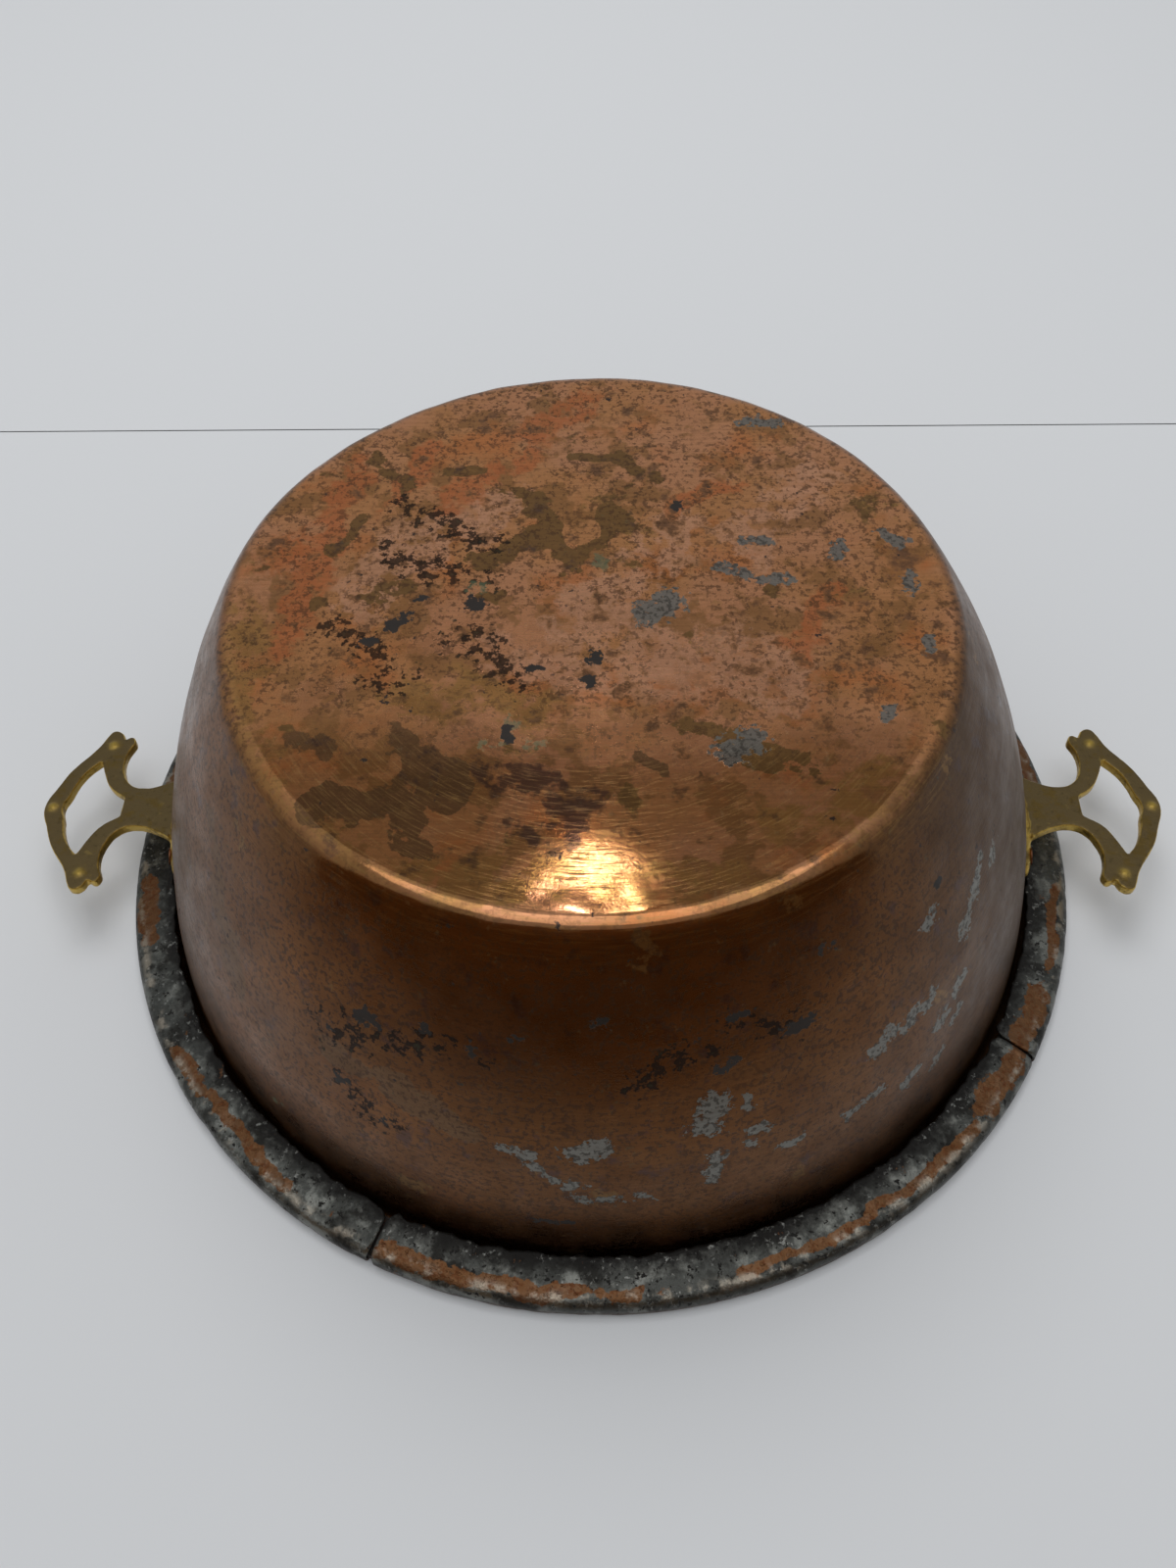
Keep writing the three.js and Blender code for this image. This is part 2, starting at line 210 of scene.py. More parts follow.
def add(tree, kind, inputs=None, output=0, **settings):
    """Adds a node, sets it up, links or fills its inputs, and gives back one of its outputs."""
    made = tree.nodes.new(kind)
    for key, value in settings.items():
        setattr(made, key, value)
    for key, value in (inputs or {}).items():
        if isinstance(key, int):
            socket = made.inputs[key]
        else:
            socket = next(s for s in made.inputs if s.name == key and s.enabled)
        if isinstance(value, bpy.types.NodeSocket):
            tree.links.new(value, socket)
        else:
            socket.default_value = value
    outputs = [s for s in made.outputs if s.enabled]
    if isinstance(output, str):
        return next(s for s in outputs if s.name == output)
    return outputs[output] if outputs else made


def linear(hexcode):
    """An sRGB hex colour as the linear colour that a shader takes."""
    parts = [int(hexcode[i : i + 2], 16) / 255 for i in (1, 3, 5)]
    return tuple(p / 12.92 if p <= 0.04045 else ((p + 0.055) / 1.055) ** 2.4 for p in parts) + (1.0,)


def new_shape_tree(name, sizes):
    """A Geometry Nodes tree with named inputs, given as name: value."""
    tree = bpy.data.node_groups.new(name, "GeometryNodeTree")
    tree.interface.new_socket("Geometry", in_out="INPUT", socket_type="NodeSocketGeometry")
    for label, value in sizes.items():
        kind = "NodeSocketInt" if isinstance(value, int) else "NodeSocketFloat"
        tree.interface.new_socket(label, in_out="INPUT", socket_type=kind)
    tree.interface.new_socket("Geometry", in_out="OUTPUT", socket_type="NodeSocketGeometry")
    return tree


def run_tree(body, tree, sizes):
    """Runs a tree on an object with these sizes and keeps the result as its plain mesh."""
    modifier = body.modifiers.new(tree.name, "NODES")
    modifier.node_group = tree
    for item in tree.interface.items_tree:
        if item.item_type == "SOCKET" and item.in_out == "INPUT" and item.name in sizes:
            modifier[item.identifier] = sizes[item.name]
    return finished(body)


# ---- Materials ----

def place_in_mm(tree):
    """The place on the object, in millimetres, for patterns that take their scale from real sizes."""
    coordinates = add(tree, "ShaderNodeTexCoord", output="Object")
    return add(tree, "ShaderNodeMapping", {"Vector": coordinates, "Scale": (1000, 1000, 1000)})


def patches(tree, place, size, low, high, shift=0.0, stretch=(1, 1, 1), detail=4.0, ragged=0.6):
    """A mask of ragged patches about so many millimetres across, from none at low to full at high."""
    scale = [1 / (size * side) for side in stretch]
    laid = add(
        tree, "ShaderNodeMapping", {"Vector": place, "Location": (shift, 1.7 * shift, -shift), "Scale": scale},
    )
    cloud = add(
        tree, "ShaderNodeTexNoise", {"Vector": laid, "Scale": 1.0, "Detail": detail, "Roughness": ragged},
    )
    return add(
        tree, "ShaderNodeMapRange", {"Value": cloud, "From Min": low, "From Max": high},
        interpolation_type="SMOOTHSTEP",
    )


def painted(tree, name, cloud, spread=0.65, low=0.95, high=1.03):
    """The mask of the strokes laid on the mesh under this name, broken up by a cloud."""
    laid = add(tree, "ShaderNodeAttribute", output="Fac", attribute_name=name)
    thinned = add(tree, "ShaderNodeMath", {0: laid, 1: spread}, operation="MULTIPLY")
    broken = add(tree, "ShaderNodeMath", {0: thinned, 1: cloud}, operation="ADD")
    return add(
        tree, "ShaderNodeMapRange", {"Value": broken, "From Min": low, "From Max": high},
        interpolation_type="SMOOTHSTEP",
    )


def mixed(tree, mask, below, above):
    """One value or colour over another, where the mask says."""
    kind = "RGBA" if isinstance(above, tuple) or getattr(above, "type", "") == "RGBA" else "FLOAT"
    return add(tree, "ShaderNodeMix", {"Factor": mask, "A": below, "B": above}, output="Result", data_type=kind)


def coat(tree, below, mask, colour=None, roughness=None, metallic=None, height=None):
    """A coat over the finish below, where the mask says; what it leaves out stays as it was."""
    above = dict(below)
    for label, value in (("Roughness", roughness), ("Metallic", metallic), ("Height", height)):
        if value is not None:
            above[label] = mixed(tree, mask, below[label], value)
    if colour is not None:
        above["Base Color"] = mixed(tree, mask, below["Base Color"], linear(colour))
    return above


def both(tree, mask, other):
    return add(tree, "ShaderNodeMath", {0: mask, 1: other}, operation="MULTIPLY")


def except_for(tree, mask, other):
    left = add(tree, "ShaderNodeMath", {0: 1.0, 1: other}, operation="SUBTRACT")
    return both(tree, mask, left)


def part_of(tree, mask, share):
    return both(tree, mask, share)


def summed(tree, *heights):
    total = heights[0]
    for height in heights[1:]:
        total = add(tree, "ShaderNodeMath", {0: total, 1: height}, operation="ADD")
    return total


def start_finish(name, colour, roughness, metallic=1.0):
    """A new material with its node tree, the place in millimetres and the bare finish."""
    material = bpy.data.materials.new(name)
    material.use_nodes = True
    tree = material.node_tree
    finish = {"Base Color": linear(colour), "Roughness": roughness, "Metallic": metallic, "Height": 0.0}
    return material, tree, place_in_mm(tree), finish


def end_finish(material, finish):
    """Feeds a finish into the material's shader; its height is a bump in millimetres."""
    tree = material.node_tree
    shader = tree.nodes["Principled BSDF"]
    bump = add(tree, "ShaderNodeBump", {"Height": finish["Height"], "Distance": 1 * MM, "Strength": 1.0})
    finish["Normal"] = bump
    for label in ("Base Color", "Roughness", "Metallic", "Normal"):
        value = finish[label]
        if isinstance(value, bpy.types.NodeSocket):
            tree.links.new(value, shader.inputs[label])
        else:
            shader.inputs[label].default_value = value
    return material


def hammered_copper():
    """Raised copper long used over a fire: satin metal under mottled pink, orange and olive oxides,
    darker and duller down the wall, with fine pits, polishing lines and stray splashes of tin."""
    material, tree, place, finish = start_finish("tarnished_hammered_copper", "#d29463", 0.27)
    lobes = patches(tree, place, 22, 0.3, 0.7, shift=3.1, detail=9, ragged=0.6)
    fray = patches(tree, place, 9, 0.3, 0.7, shift=5.3, detail=7, ragged=0.62)
    fine_fray = patches(tree, place, 3.4, 0.3, 0.7, shift=7.7, detail=5, ragged=0.62)
    on_wall = add(tree, "ShaderNodeAttribute", output="Fac", attribute_name="down_the_wall")

    # Broad oxide colours, which a fire leaves in clouds a hand wide.
    rosy = patches(tree, place, 46, 0.42, 0.62, shift=11)
    finish = coat(tree, finish, rosy, "#d99a71", 0.25)
    brown = patches(tree, place, 17, 0.51, 0.57, shift=23, detail=9)
    finish = coat(tree, finish, both(tree, brown, 0.7), "#9b7046", 0.33)
    orange = patches(tree, place, 30, 0.52, 0.68, shift=41, detail=5)
    finish = coat(tree, finish, both(tree, orange, 0.6), "#d6804a", 0.27)

    # The wall is browner, and its front carries painted shade, darkest where it faces the dark room: a painted
    # reflection of that room.
    finish = coat(tree, finish, both(tree, on_wall, 0.96), "#714c2d", 0.3)
    cloudy = patches(tree, place, 34, 0.42, 0.66, shift=57, detail=6)
    finish = coat(tree, finish, both(tree, both(tree, cloudy, on_wall), 0.6), "#8a5a33", 0.29)
    wall_brown = patches(tree, place, 24, 0.42, 0.7, shift=61, detail=8)
    finish = coat(tree, finish, both(tree, both(tree, wall_brown, on_wall), 0.4), "#5e3c26", 0.36)
    # Painted shade: the front of the wall is darkened, standing for the dark room it mirrors.
    front_wall_painted_shade = add(tree, "ShaderNodeAttribute", output="Fac", attribute_name="front_wall_painted_shade")
    finish = coat(tree, finish, front_wall_painted_shade, "#5a3b20", 0.33)
    greyed = add(tree, "ShaderNodeAttribute", output="Fac", attribute_name="greyed")
    finish = coat(tree, finish, both(tree, greyed, 0.7), "#453a2b", 0.46, 0.9)

    # Oxide patches laid on the base where heat and wear put them.
    base_only = except_for(tree, 1.0, on_wall)
    rosy_copper = both(tree, painted(tree, "rosy_copper", fray, 0.7, 0.75, 1.15), base_only)
    finish = coat(tree, finish, both(tree, rosy_copper, 0.8), "#e6aa86", 0.25)
    orange_oxide = both(tree, painted(tree, "orange_oxide", fray, 0.75, 0.7, 1.2), base_only)
    finish = coat(tree, finish, both(tree, orange_oxide, 0.8), "#d27c4e", 0.3)
    gold_patina = both(tree, painted(tree, "gold_patina", fray, 0.6, 0.6, 1.2), base_only)
    finish = coat(tree, finish, gold_patina, "#bd8b56", 0.25)
    finish = coat(tree, finish, both(tree, painted(tree, "brown_matte", lobes, 0.75), 0.85), "#6e533a", 0.36, 0.9)
    finish = coat(tree, finish, both(tree, painted(tree, "olive_patina", lobes, 0.7, 0.93, 0.99), 0.95), "#80603a", 0.37, 0.9)
    finish = coat(tree, finish, both(tree, painted(tree, "purple_oxide", fray, 0.7, 0.75, 1.1), 0.75), "#45393f", 0.27)
    gold_flecks = patches(tree, place, 2.8, 0.54, 0.62, shift=67, detail=6)
    rubbed_zone = both(tree, painted(tree, "gold_patina", lobes, 0.8, 0.7, 1.0), base_only)
    finish = coat(tree, finish, both(tree, both(tree, gold_flecks, rubbed_zone), 0.5), "#b88c54", 0.24)

    # Golden streaks left by the last rubbing down, across the front of the base.
    polish = add(tree, "ShaderNodeAttribute", output="Fac", attribute_name="polished_front")
    across = add(tree, "ShaderNodeSeparateXYZ", {"Vector": place}, output="X")
    forward = add(tree, "ShaderNodeSeparateXYZ", {"Vector": place}, output="Y")
    bearing = add(tree, "ShaderNodeMath", {0: forward, 1: across}, operation="ARCTAN2")
    on_floor = add(tree, "ShaderNodeVectorMath", {0: place, 1: (1, 1, 0)}, operation="MULTIPLY")
    from_middle = add(tree, "ShaderNodeVectorMath", {0: on_floor}, output="Value", operation="LENGTH")
    round_the_bowl = add(tree, "ShaderNodeCombineXYZ", {"X": from_middle, "Y": bearing})
    streaks = patches(tree, round_the_bowl, 1.0, 0.46, 0.66, shift=149, stretch=(0.7, 0.11, 1), detail=4)
    finish = coat(tree, finish, both(tree, both(tree, streaks, polish), 0.4), "#a9844f", 0.24)

    # Stipple: pits a millimetre wide that hold dark oxide, in drifts.
    drifts = patches(tree, place, 26, 0.26, 0.54, shift=71)
    stipple = patches(tree, place, 1.9, 0.5, 0.6, shift=83, detail=4, ragged=0.65)
    stipple = both(tree, stipple, add(tree, "ShaderNodeMapRange", {"Value": polish, "To Min": 1.0, "To Max": 0.35}))
    finish = coat(tree, finish, both(tree, both(tree, drifts, stipple), 0.75), "#553a26", 0.36, 0.8, -0.02)
    finish = coat(tree, finish, both(tree, both(tree, stipple, on_wall), 0.4), "#3f2b1d", 0.38)
    specks = patches(tree, place, 4.2, 0.665, 0.7, shift=97, detail=5)
    dark_drifts = patches(tree, place, 36, 0.42, 0.54, shift=101)
    finish = coat(tree, finish, both(tree, specks, dark_drifts), "#352a26", 0.5, 0.6)
    clusters = painted(tree, "dark_specks", fine_fray, 0.5, 1.0, 1.1)
    finish = coat(tree, finish, both(tree, clusters, 0.9), "#1b1411", 0.5, 0.85)

    # Spots: verdigris, soot and splashed tin.
    verdigris = painted(tree, "verdigris", fine_fray, 0.8, 0.9, 1.2)
    finish = coat(tree, finish, both(tree, verdigris, 0.75), "#4b5c42", 0.6, 0.3)
    finish = coat(tree, finish, painted(tree, "black_spots", fine_fray, 0.95, 1.0, 1.06), "#0f0c0a", 0.6, 0.0, 0.04)
    tin = painted(tree, "tin_splashes", fine_fray, 0.95, 1.0, 1.08)
    finish = coat(tree, finish, both(tree, tin, 0.95), "#7c7973", 0.42, 0.85, 0.06)
    finish = coat(tree, finish, both(tree, tin, on_wall), "#7d7c76", 0.38)
    tin_grime = patches(tree, place, 1.8, 0.5, 0.58, shift=113, detail=4)
    finish = coat(tree, finish, both(tree, both(tree, tin, tin_grime), 0.75), "#45433f", 0.5)

    # Polishing lines run round the wall and across the base, with grain between them.
    round_lines = patches(tree, place, 1.0, 0.2, 0.8, shift=127, stretch=(26, 26, 0.7), detail=3)
    base_lines = patches(tree, place, 1.0, 0.2, 0.8, shift=131, stretch=(22, 0.9, 22), detail=3)
    lines = mixed(tree, on_wall, base_lines, round_lines)
    finish = coat(tree, finish, both(tree, lines, 0.25), "#4a3320")
    grain = patches(tree, place, 0.8, 0.1, 0.9, shift=137, detail=3)
    worn = add(tree, "ShaderNodeMapRange", {"Value": lines, "To Min": -0.04, "To Max": 0.05})
    smudges = patches(tree, place, 14, 0.3, 0.7, shift=139, detail=6)
    blotchy = add(tree, "ShaderNodeMapRange", {"Value": smudges, "To Min": -0.06, "To Max": 0.08})
    dull = summed(tree, finish["Roughness"], worn, blotchy)
    bright = add(tree, "ShaderNodeMapRange", {"Value": streaks, "To Min": 0.09, "To Max": 0.23})
    finish["Roughness"] = add(
        tree, "ShaderNodeMapRange", {"Value": polish, "To Min": dull, "To Max": bright},
    )
    rough_height = summed(
        tree, finish["Height"], both(tree, lines, 0.01), both(tree, grain, 0.014), both(tree, fine_fray, 0.012),
    )
    finish["Height"] = add(
        tree, "ShaderNodeMapRange", {"Value": polish, "To Min": rough_height, "To Max": both(tree, rough_height, 0.25)},
    )
    return end_finish(material, finish)


def tin_inside():
    """Wiped tin inside the bowl: grey and soft-looking, scratched by stirring, worn to copper in places."""
    material, tree, place, finish = start_finish("worn_tin_lining", "#9a958c", 0.4)
    finish = coat(tree, finish, patches(tree, place, 32, 0.42, 0.62, shift=5), "#7f7a72", 0.5)
    bare = patches(tree, place, 40, 0.58, 0.63, shift=19, detail=7, ragged=0.65)
    finish = coat(tree, finish, bare, "#a3694a", 0.4)
    finish = coat(tree, finish, patches(tree, place, 3.5, 0.64, 0.7, shift=29), "#4b453f", 0.6, 0.6)
    stirred = patches(tree, place, 1.0, 0.2, 0.8, shift=37, stretch=(24, 24, 0.9), detail=3)
    wiped = patches(tree, place, 7, 0.2, 0.8, shift=43)
    finish["Height"] = summed(tree, both(tree, stirred, 0.02), both(tree, wiped, 0.05))
    return end_finish(material, finish)


def sooty_tinned_copper():
    """Tinned strips blackened by fire: lumpy dull tin with bright grains, rubbed to copper along the outside, darkened
    by the wall with soot and painted shade, and worn bright along the shoulder with a painted highlight.
    """
    material, tree, place, finish = start_finish("sooty_tinned_copper", "#4e4f4c", 0.42)
    fray = patches(tree, place, 7, 0.2, 0.8, shift=3, detail=6, ragged=0.65)
    across = add(tree, "ShaderNodeAttribute", output="Fac", attribute_name="across_the_strip")
    finish = coat(tree, finish, patches(tree, place, 11, 0.46, 0.6, shift=9, detail=6), "#787974", 0.36)
    soot = patches(tree, place, 16, 0.48, 0.62, shift=15, detail=6)
    finish = coat(tree, finish, soot, "#2b2a27", 0.5, 0.8)
    # Soot and painted shade: the strip is darkened next to the wall, where the gap to the wall lies in shade.
    soot_and_painted_shade_by_wall = add(
        tree, "ShaderNodeMapRange", {"Value": summed(tree, across, both(tree, fray, 0.2)), "From Min": 0.86, "From Max": 1.05},
    )
    finish = coat(tree, finish, soot_and_painted_shade_by_wall, "#1c1a18", 0.6, 0.6)
    grains = patches(tree, place, 2.2, 0.56, 0.66, shift=21, detail=5)
    grainy = patches(tree, place, 14, 0.42, 0.58, shift=22, detail=4)
    finish = coat(tree, finish, both(tree, both(tree, grains, grainy), 0.75), "#8e8f8b", 0.34, 1.0, 0.1)
    pits = patches(tree, place, 2.2, 0.6, 0.66, shift=27, detail=3)
    finish = coat(tree, finish, pits, "#1a1917", 0.6, 0.5, -0.1)
    bare = painted(tree, "bare_copper", fray, 0.85, 0.85, 0.95)
    finish = coat(tree, finish, both(tree, bare, 0.9), "#6f4c30", 0.38, 0.95)
    scuffs = patches(tree, place, 2.4, 0.5, 0.62, shift=33, detail=4)
    finish = coat(tree, finish, both(tree, both(tree, bare, scuffs), 0.7), "#633a22", 0.45)
    low = add(tree, "ShaderNodeMapRange", {"Value": across, "From Min": 0.46, "From Max": 0.4})
    outside = both(tree, low, patches(tree, place, 12, 0.3, 0.5, shift=39))
    finish = coat(tree, finish, both(tree, outside, 0.8), "#5a463a", 0.45)
    # Worn tin along the shoulder, partly a painted highlight where the rounded edge catches the light.
    edge = add(tree, "ShaderNodeAttribute", output="Fac", attribute_name="worn_edge_and_painted_highlight")
    rubbed = both(tree, edge, patches(tree, place, 9, 0.48, 0.6, shift=45, detail=7))
    finish = coat(tree, finish, both(tree, rubbed, 0.8), "#a39a8c", 0.26, 1.0)
    lumps = patches(tree, place, 3.4, 0.2, 0.8, shift=51, detail=5)
    drawn = patches(tree, place, 1.1, 0.2, 0.8, shift=55, detail=2)
    finish["Height"] = summed(tree, finish["Height"], both(tree, lumps, 0.22), both(tree, drawn, 0.03))
    return end_finish(material, finish)


def old_cast_brass():
    """Sand-cast brass: dull olive-brown patina on upward faces, sides and rubbed edges yellow, the sides' brightness
    painted light, pitted grain.
    """
    # Painted light: the yellow of the sides is brightened so that they look lit.
    material, tree, place, finish = start_finish("old_cast_brass", "#cbab55", 0.36, 0.75)
    facing = add(tree, "ShaderNodeNewGeometry", output="Normal")
    upwards = add(tree, "ShaderNodeSeparateXYZ", {"Vector": facing}, output="Z")
    cloud = patches(tree, place, 5, 0.2, 0.8, shift=3, detail=5)
    raised = summed(tree, upwards, both(tree, cloud, 0.24))
    # Upward faces take the olive patina; the sides left bright are painted light.
    top_patina_painted_side_light = add(tree, "ShaderNodeMapRange", {"Value": raised, "From Min": 0.8, "From Max": 1.05})
    finish = coat(tree, finish, top_patina_painted_side_light, "#69593a", 0.45, 0.85)
    finish = coat(tree, finish, both(tree, patches(tree, place, 6, 0.5, 0.64, shift=11, detail=5), 0.7), "#6c5728", 0.45, 0.9)
    finish = coat(tree, finish, both(tree, patches(tree, place, 2.4, 0.56, 0.7, shift=17), 0.35), "#3d3218", 0.5, 0.8)
    rubbed = add(tree, "ShaderNodeAttribute", output="Fac", attribute_name="rubbed_studs")
    finish = coat(tree, finish, rubbed, "#b79a4c", 0.3, 1.0)
    grain = patches(tree, place, 0.9, 0.2, 0.8, shift=23, detail=3)
    swell = patches(tree, place, 4, 0.2, 0.8, shift=29)
    finish["Height"] = summed(tree, both(tree, grain, 0.06), both(tree, swell, 0.12))
    return end_finish(material, finish)


def wrought_iron():
    """The wire hoop inside the rim: black scale with brown rust, seen only through the joints."""
    material, tree, place, finish = start_finish("wrought_iron", "#2e2a28", 0.6, 0.8)
    finish = coat(tree, finish, patches(tree, place, 6, 0.48, 0.6, shift=7, detail=5), "#5a3826", 0.85, 0.1)
    finish["Height"] = both(tree, patches(tree, place, 1.5, 0.2, 0.8, shift=13), 0.08)
    return end_finish(material, finish)


def copper_rivet():
    """Soft copper rivets set cold: small flats from the hammer and dark metal round the edge."""
    material, tree, place, finish = start_finish("hammered_copper_rivet", "#94654a", 0.38)
    finish = coat(tree, finish, patches(tree, place, 3, 0.46, 0.6, shift=7, detail=5), "#6b4730", 0.46)
    finish = coat(tree, finish, patches(tree, place, 1.4, 0.6, 0.68, shift=13), "#3a2a20", 0.55)
    finish["Height"] = both(tree, patches(tree, place, 1.2, 0.2, 0.8, shift=19), 0.08)
    return end_finish(material, finish)


copper_skin = hammered_copper()
tin_lining = tin_inside()
rim_skin = sooty_tinned_copper()
brass_skin = old_cast_brass()
iron_skin = wrought_iron()
rivet_skin = copper_rivet()


# ---- Marks laid on the copper ----

def on_base(x, y):
    return (x * MM, y * MM, BOWL_HEIGHT)


def on_wall(azimuth, height):
    radius, level = wall_point(wall_turn(height * MM), BOWL_SHEET / 2)
    angle = math.radians(azimuth)
    return (radius * math.cos(angle), radius * math.sin(angle), level)


def on_rim(azimuth, inset):
    angle = math.radians(azimuth)
    reach = RIM_RADIUS - inset * MM
    return (reach * math.cos(angle), reach * math.sin(angle), SHOULDER_HEIGHT)


def wandering_places(mesh, reach):
    """The places of a mesh's points, each shifted by up to about this far so that strokes laid there wander."""
    return np.array([
        tuple(v.co + noise.noise_vector(v.co / (16 * MM)) * reach + noise.noise_vector(v.co / (6 * MM)) * reach / 3)
        for v in mesh.vertices
    ])


def lay_strokes(mesh, name, strokes, places):
    """Lays strokes on a mesh as an attribute: 1 within each stroke, fading to 0 at one and a half widths."""
    laid = np.zeros(len(places))
    for start, end, width in strokes:
        start = np.array(start)
        along = np.array(end) - start
        share = np.clip((places - start) @ along / max(along @ along, 1e-12), 0, 1)
        away = np.linalg.norm(places - start - share[:, None] * along, axis=1)
        laid = np.maximum(laid, np.clip(1.5 - away / (width * MM), 0, 1))
    lay_values(mesh, name, laid)


def lay_values(mesh, name, values):
    attribute = mesh.attributes.new(name, "FLOAT", "POINT")
    attribute.data.foreach_set("value", values)


# Each stroke on the base: x and y of its start and end in mm, then its half width.
BASE_STROKES = {
    "orange_oxide": [
        (-105, -14, -97, 29, 8), (-97, 29, -90, 74, 7), (-50, 53, -29, 81, 8), (-29, 81, -5, 111, 7),
        (-74, 50, -60, 84, 5), (30, 48, 52, 62, 5), (70, -20, 88, 8, 5),
    ],
    "rosy_copper": [
        (-78, 9, -57, 31, 13), (-57, 31, -34, 53, 11), (20, -20, 60, -30, 16), (-6, -10, 30, 36, 12),
        (56, 30, 84, 66, 11), (-30, -20, 2, -34, 9),
    ],
    "olive_patina": [
        (-25, 65, -17, 38, 5), (-17, 38, -38, 23, 6), (-9, 18, -17, 38, 6), (-9, 18, 12, 49, 5),
        (12, 49, 19, 70, 5), (-3, 78, 22, 70, 4.5), (-95, 7, -30, 9, 4), (-95, 29, -80, 46, 5),
        (-81, 72, -63, 57, 6), (-56, 66, -44, 70, 4), (28, -53, 48, -61, 6), (50, -62, 70, -68, 6),
    ],
    "gold_patina": [
        (-121, -36, -115, -60, 8), (-110, -62, -99, -85, 11), (-94, -92, -76, -106, 8), (-50, -110, 46, -113, 7),
        (-118, -8, -116, -28, 8), (-60, -36, -20, -44, 9), (60, -90, 90, -76, 8),
    ],
    "brown_matte": [
        (-86, -64, -66, -62, 9), (-64, -62, -46, -74, 10), (-80, -83, -54, -90, 8), (-52, -92, -48, -100, 5),
        (14, -62, 30, -72, 4),
    ],
    "purple_oxide": [(-30, -72, -14, -69, 6), (-14, -72, -5, -90, 8), (-22, -96, -6, -98, 5)],
    "dark_specks": [(-89, -7, -69, -28, 9), (-45, -14, -27, -31, 9), (-70, 24, -40, 12, 8), (-66, 50, -40, 34, 8)],
    "verdigris": [(2, 21, 3, 24, 3), (-40, 9, -38, 9, 3), (-34, -60, -14, -59, 1.6), (-26, -56, -26, -50, 2.4)],
    "black_spots": [
        (1, -22, 2, -24, 3), (0, -34, 0, -35, 2.4), (-40, 1, -40, 3, 3), (-69, -8, -64, -4, 3), (-27, -54, -25, -59, 2),
        (-78, -16, -76, -16, 2.4), (-58, 4, -57, 4, 1.6), (-20, -28, -16, -28, 1.4), (30, 50, 32, 50, 1.8),
    ],
    "tin_splashes": [
        (20, -3, 28, 4, 6), (58, 14, 70, 13, 2.6), (46, 19, 54, 17, 2.6), (55, 33, 66, 32, 2.4), (88, 24, 90, 30, 2.6),
        (96, -50, 97, -47, 2.6), (112, 8, 114, 14, 2.4), (115, -20, 115, -16, 2.6), (60, 97, 70, 96, 3.4),
        (44, -64, 52, -58, 4.7), (106, 36, 112, 30, 2.6),
    ],
}

# Each stroke on the wall: azimuth in degrees and height in mm of its start and end, then its half width.
WALL_STROKES = {
    "brown_matte": [(-146, 104, -140, 74, 7), (-122, 84, -104, 74, 7), (-152, 120, -148, 108, 5)],
    "dark_specks": [(-123, 93, -104, 106, 7), (-73, 117, -66, 104, 6), (-121, 73, -115, 64, 6), (-84, 100, -76, 108, 5)],
    "black_spots": [
        (-123, 93, -123, 95, 2.2), (-118, 104, -117, 106, 2.6), (-110, 109, -110, 110, 2), (-104, 106, -104, 108, 2.4),
        (-121, 73, -120, 74, 2.2), (-115, 64, -115, 65, 2), (-73, 117, -71, 117, 2), (-66, 104, -63, 106, 2.4),
        (-100, 114, -99, 115, 1.8), (-90, 122, -88, 122, 1.5), (-75, 99, -74, 101, 2.8), (-40, 118, -39, 119, 2),
        (-96, 30, -93, 30, 1.6), (-60, 126, -58, 127, 1.6),
    ],
    "tin_splashes": [
        (-76, 86, -77, 78, 5.5), (-72, 82, -72, 86, 2.4), (-76, 62, -77, 50, 2.9), (-72, 62, -72, 64, 2.4),
        (-68, 56, -66, 57, 2.4), (-72, 69, -70, 70, 2.4), (-60, 56, -58, 58, 2.6), (-56, 58, -54, 58, 2.4),
        (-51, 50, -49, 53, 2.4), (-46, 47, -44, 50, 2.4), (-55, 79, -52, 83, 3.1), (-50, 78, -48, 82, 2.6),
        (-47, 78, -45, 82, 2.9), (-45, 66, -43, 69, 2.9), (-41, 71, -39, 75, 2.6), (-92, 70, -89, 73, 4.7),
        (-100, 69, -97, 67, 2.6), (-97, 63, -96, 61, 2.4), (-95, 57, -94, 56, 2.6), (-93, 53, -92, 52, 2.6),
        (-92, 46, -91, 45, 2.4), (-89, 45, -87, 46, 2.6), (-85, 47, -84, 46, 2.6), (-38, 92, -36, 95, 3.1),
        (-34, 98, -30, 108, 2.6), (-28, 98, -26, 102, 2.6), (-44, 108, -42, 110, 2.4), (-42, 60, -40, 62, 2.6),
    ],
    "verdigris": [(-132, 30, -131, 31, 2)],
}


SMALL_MARKS = {"verdigris", "black_spots", "tin_splashes"}


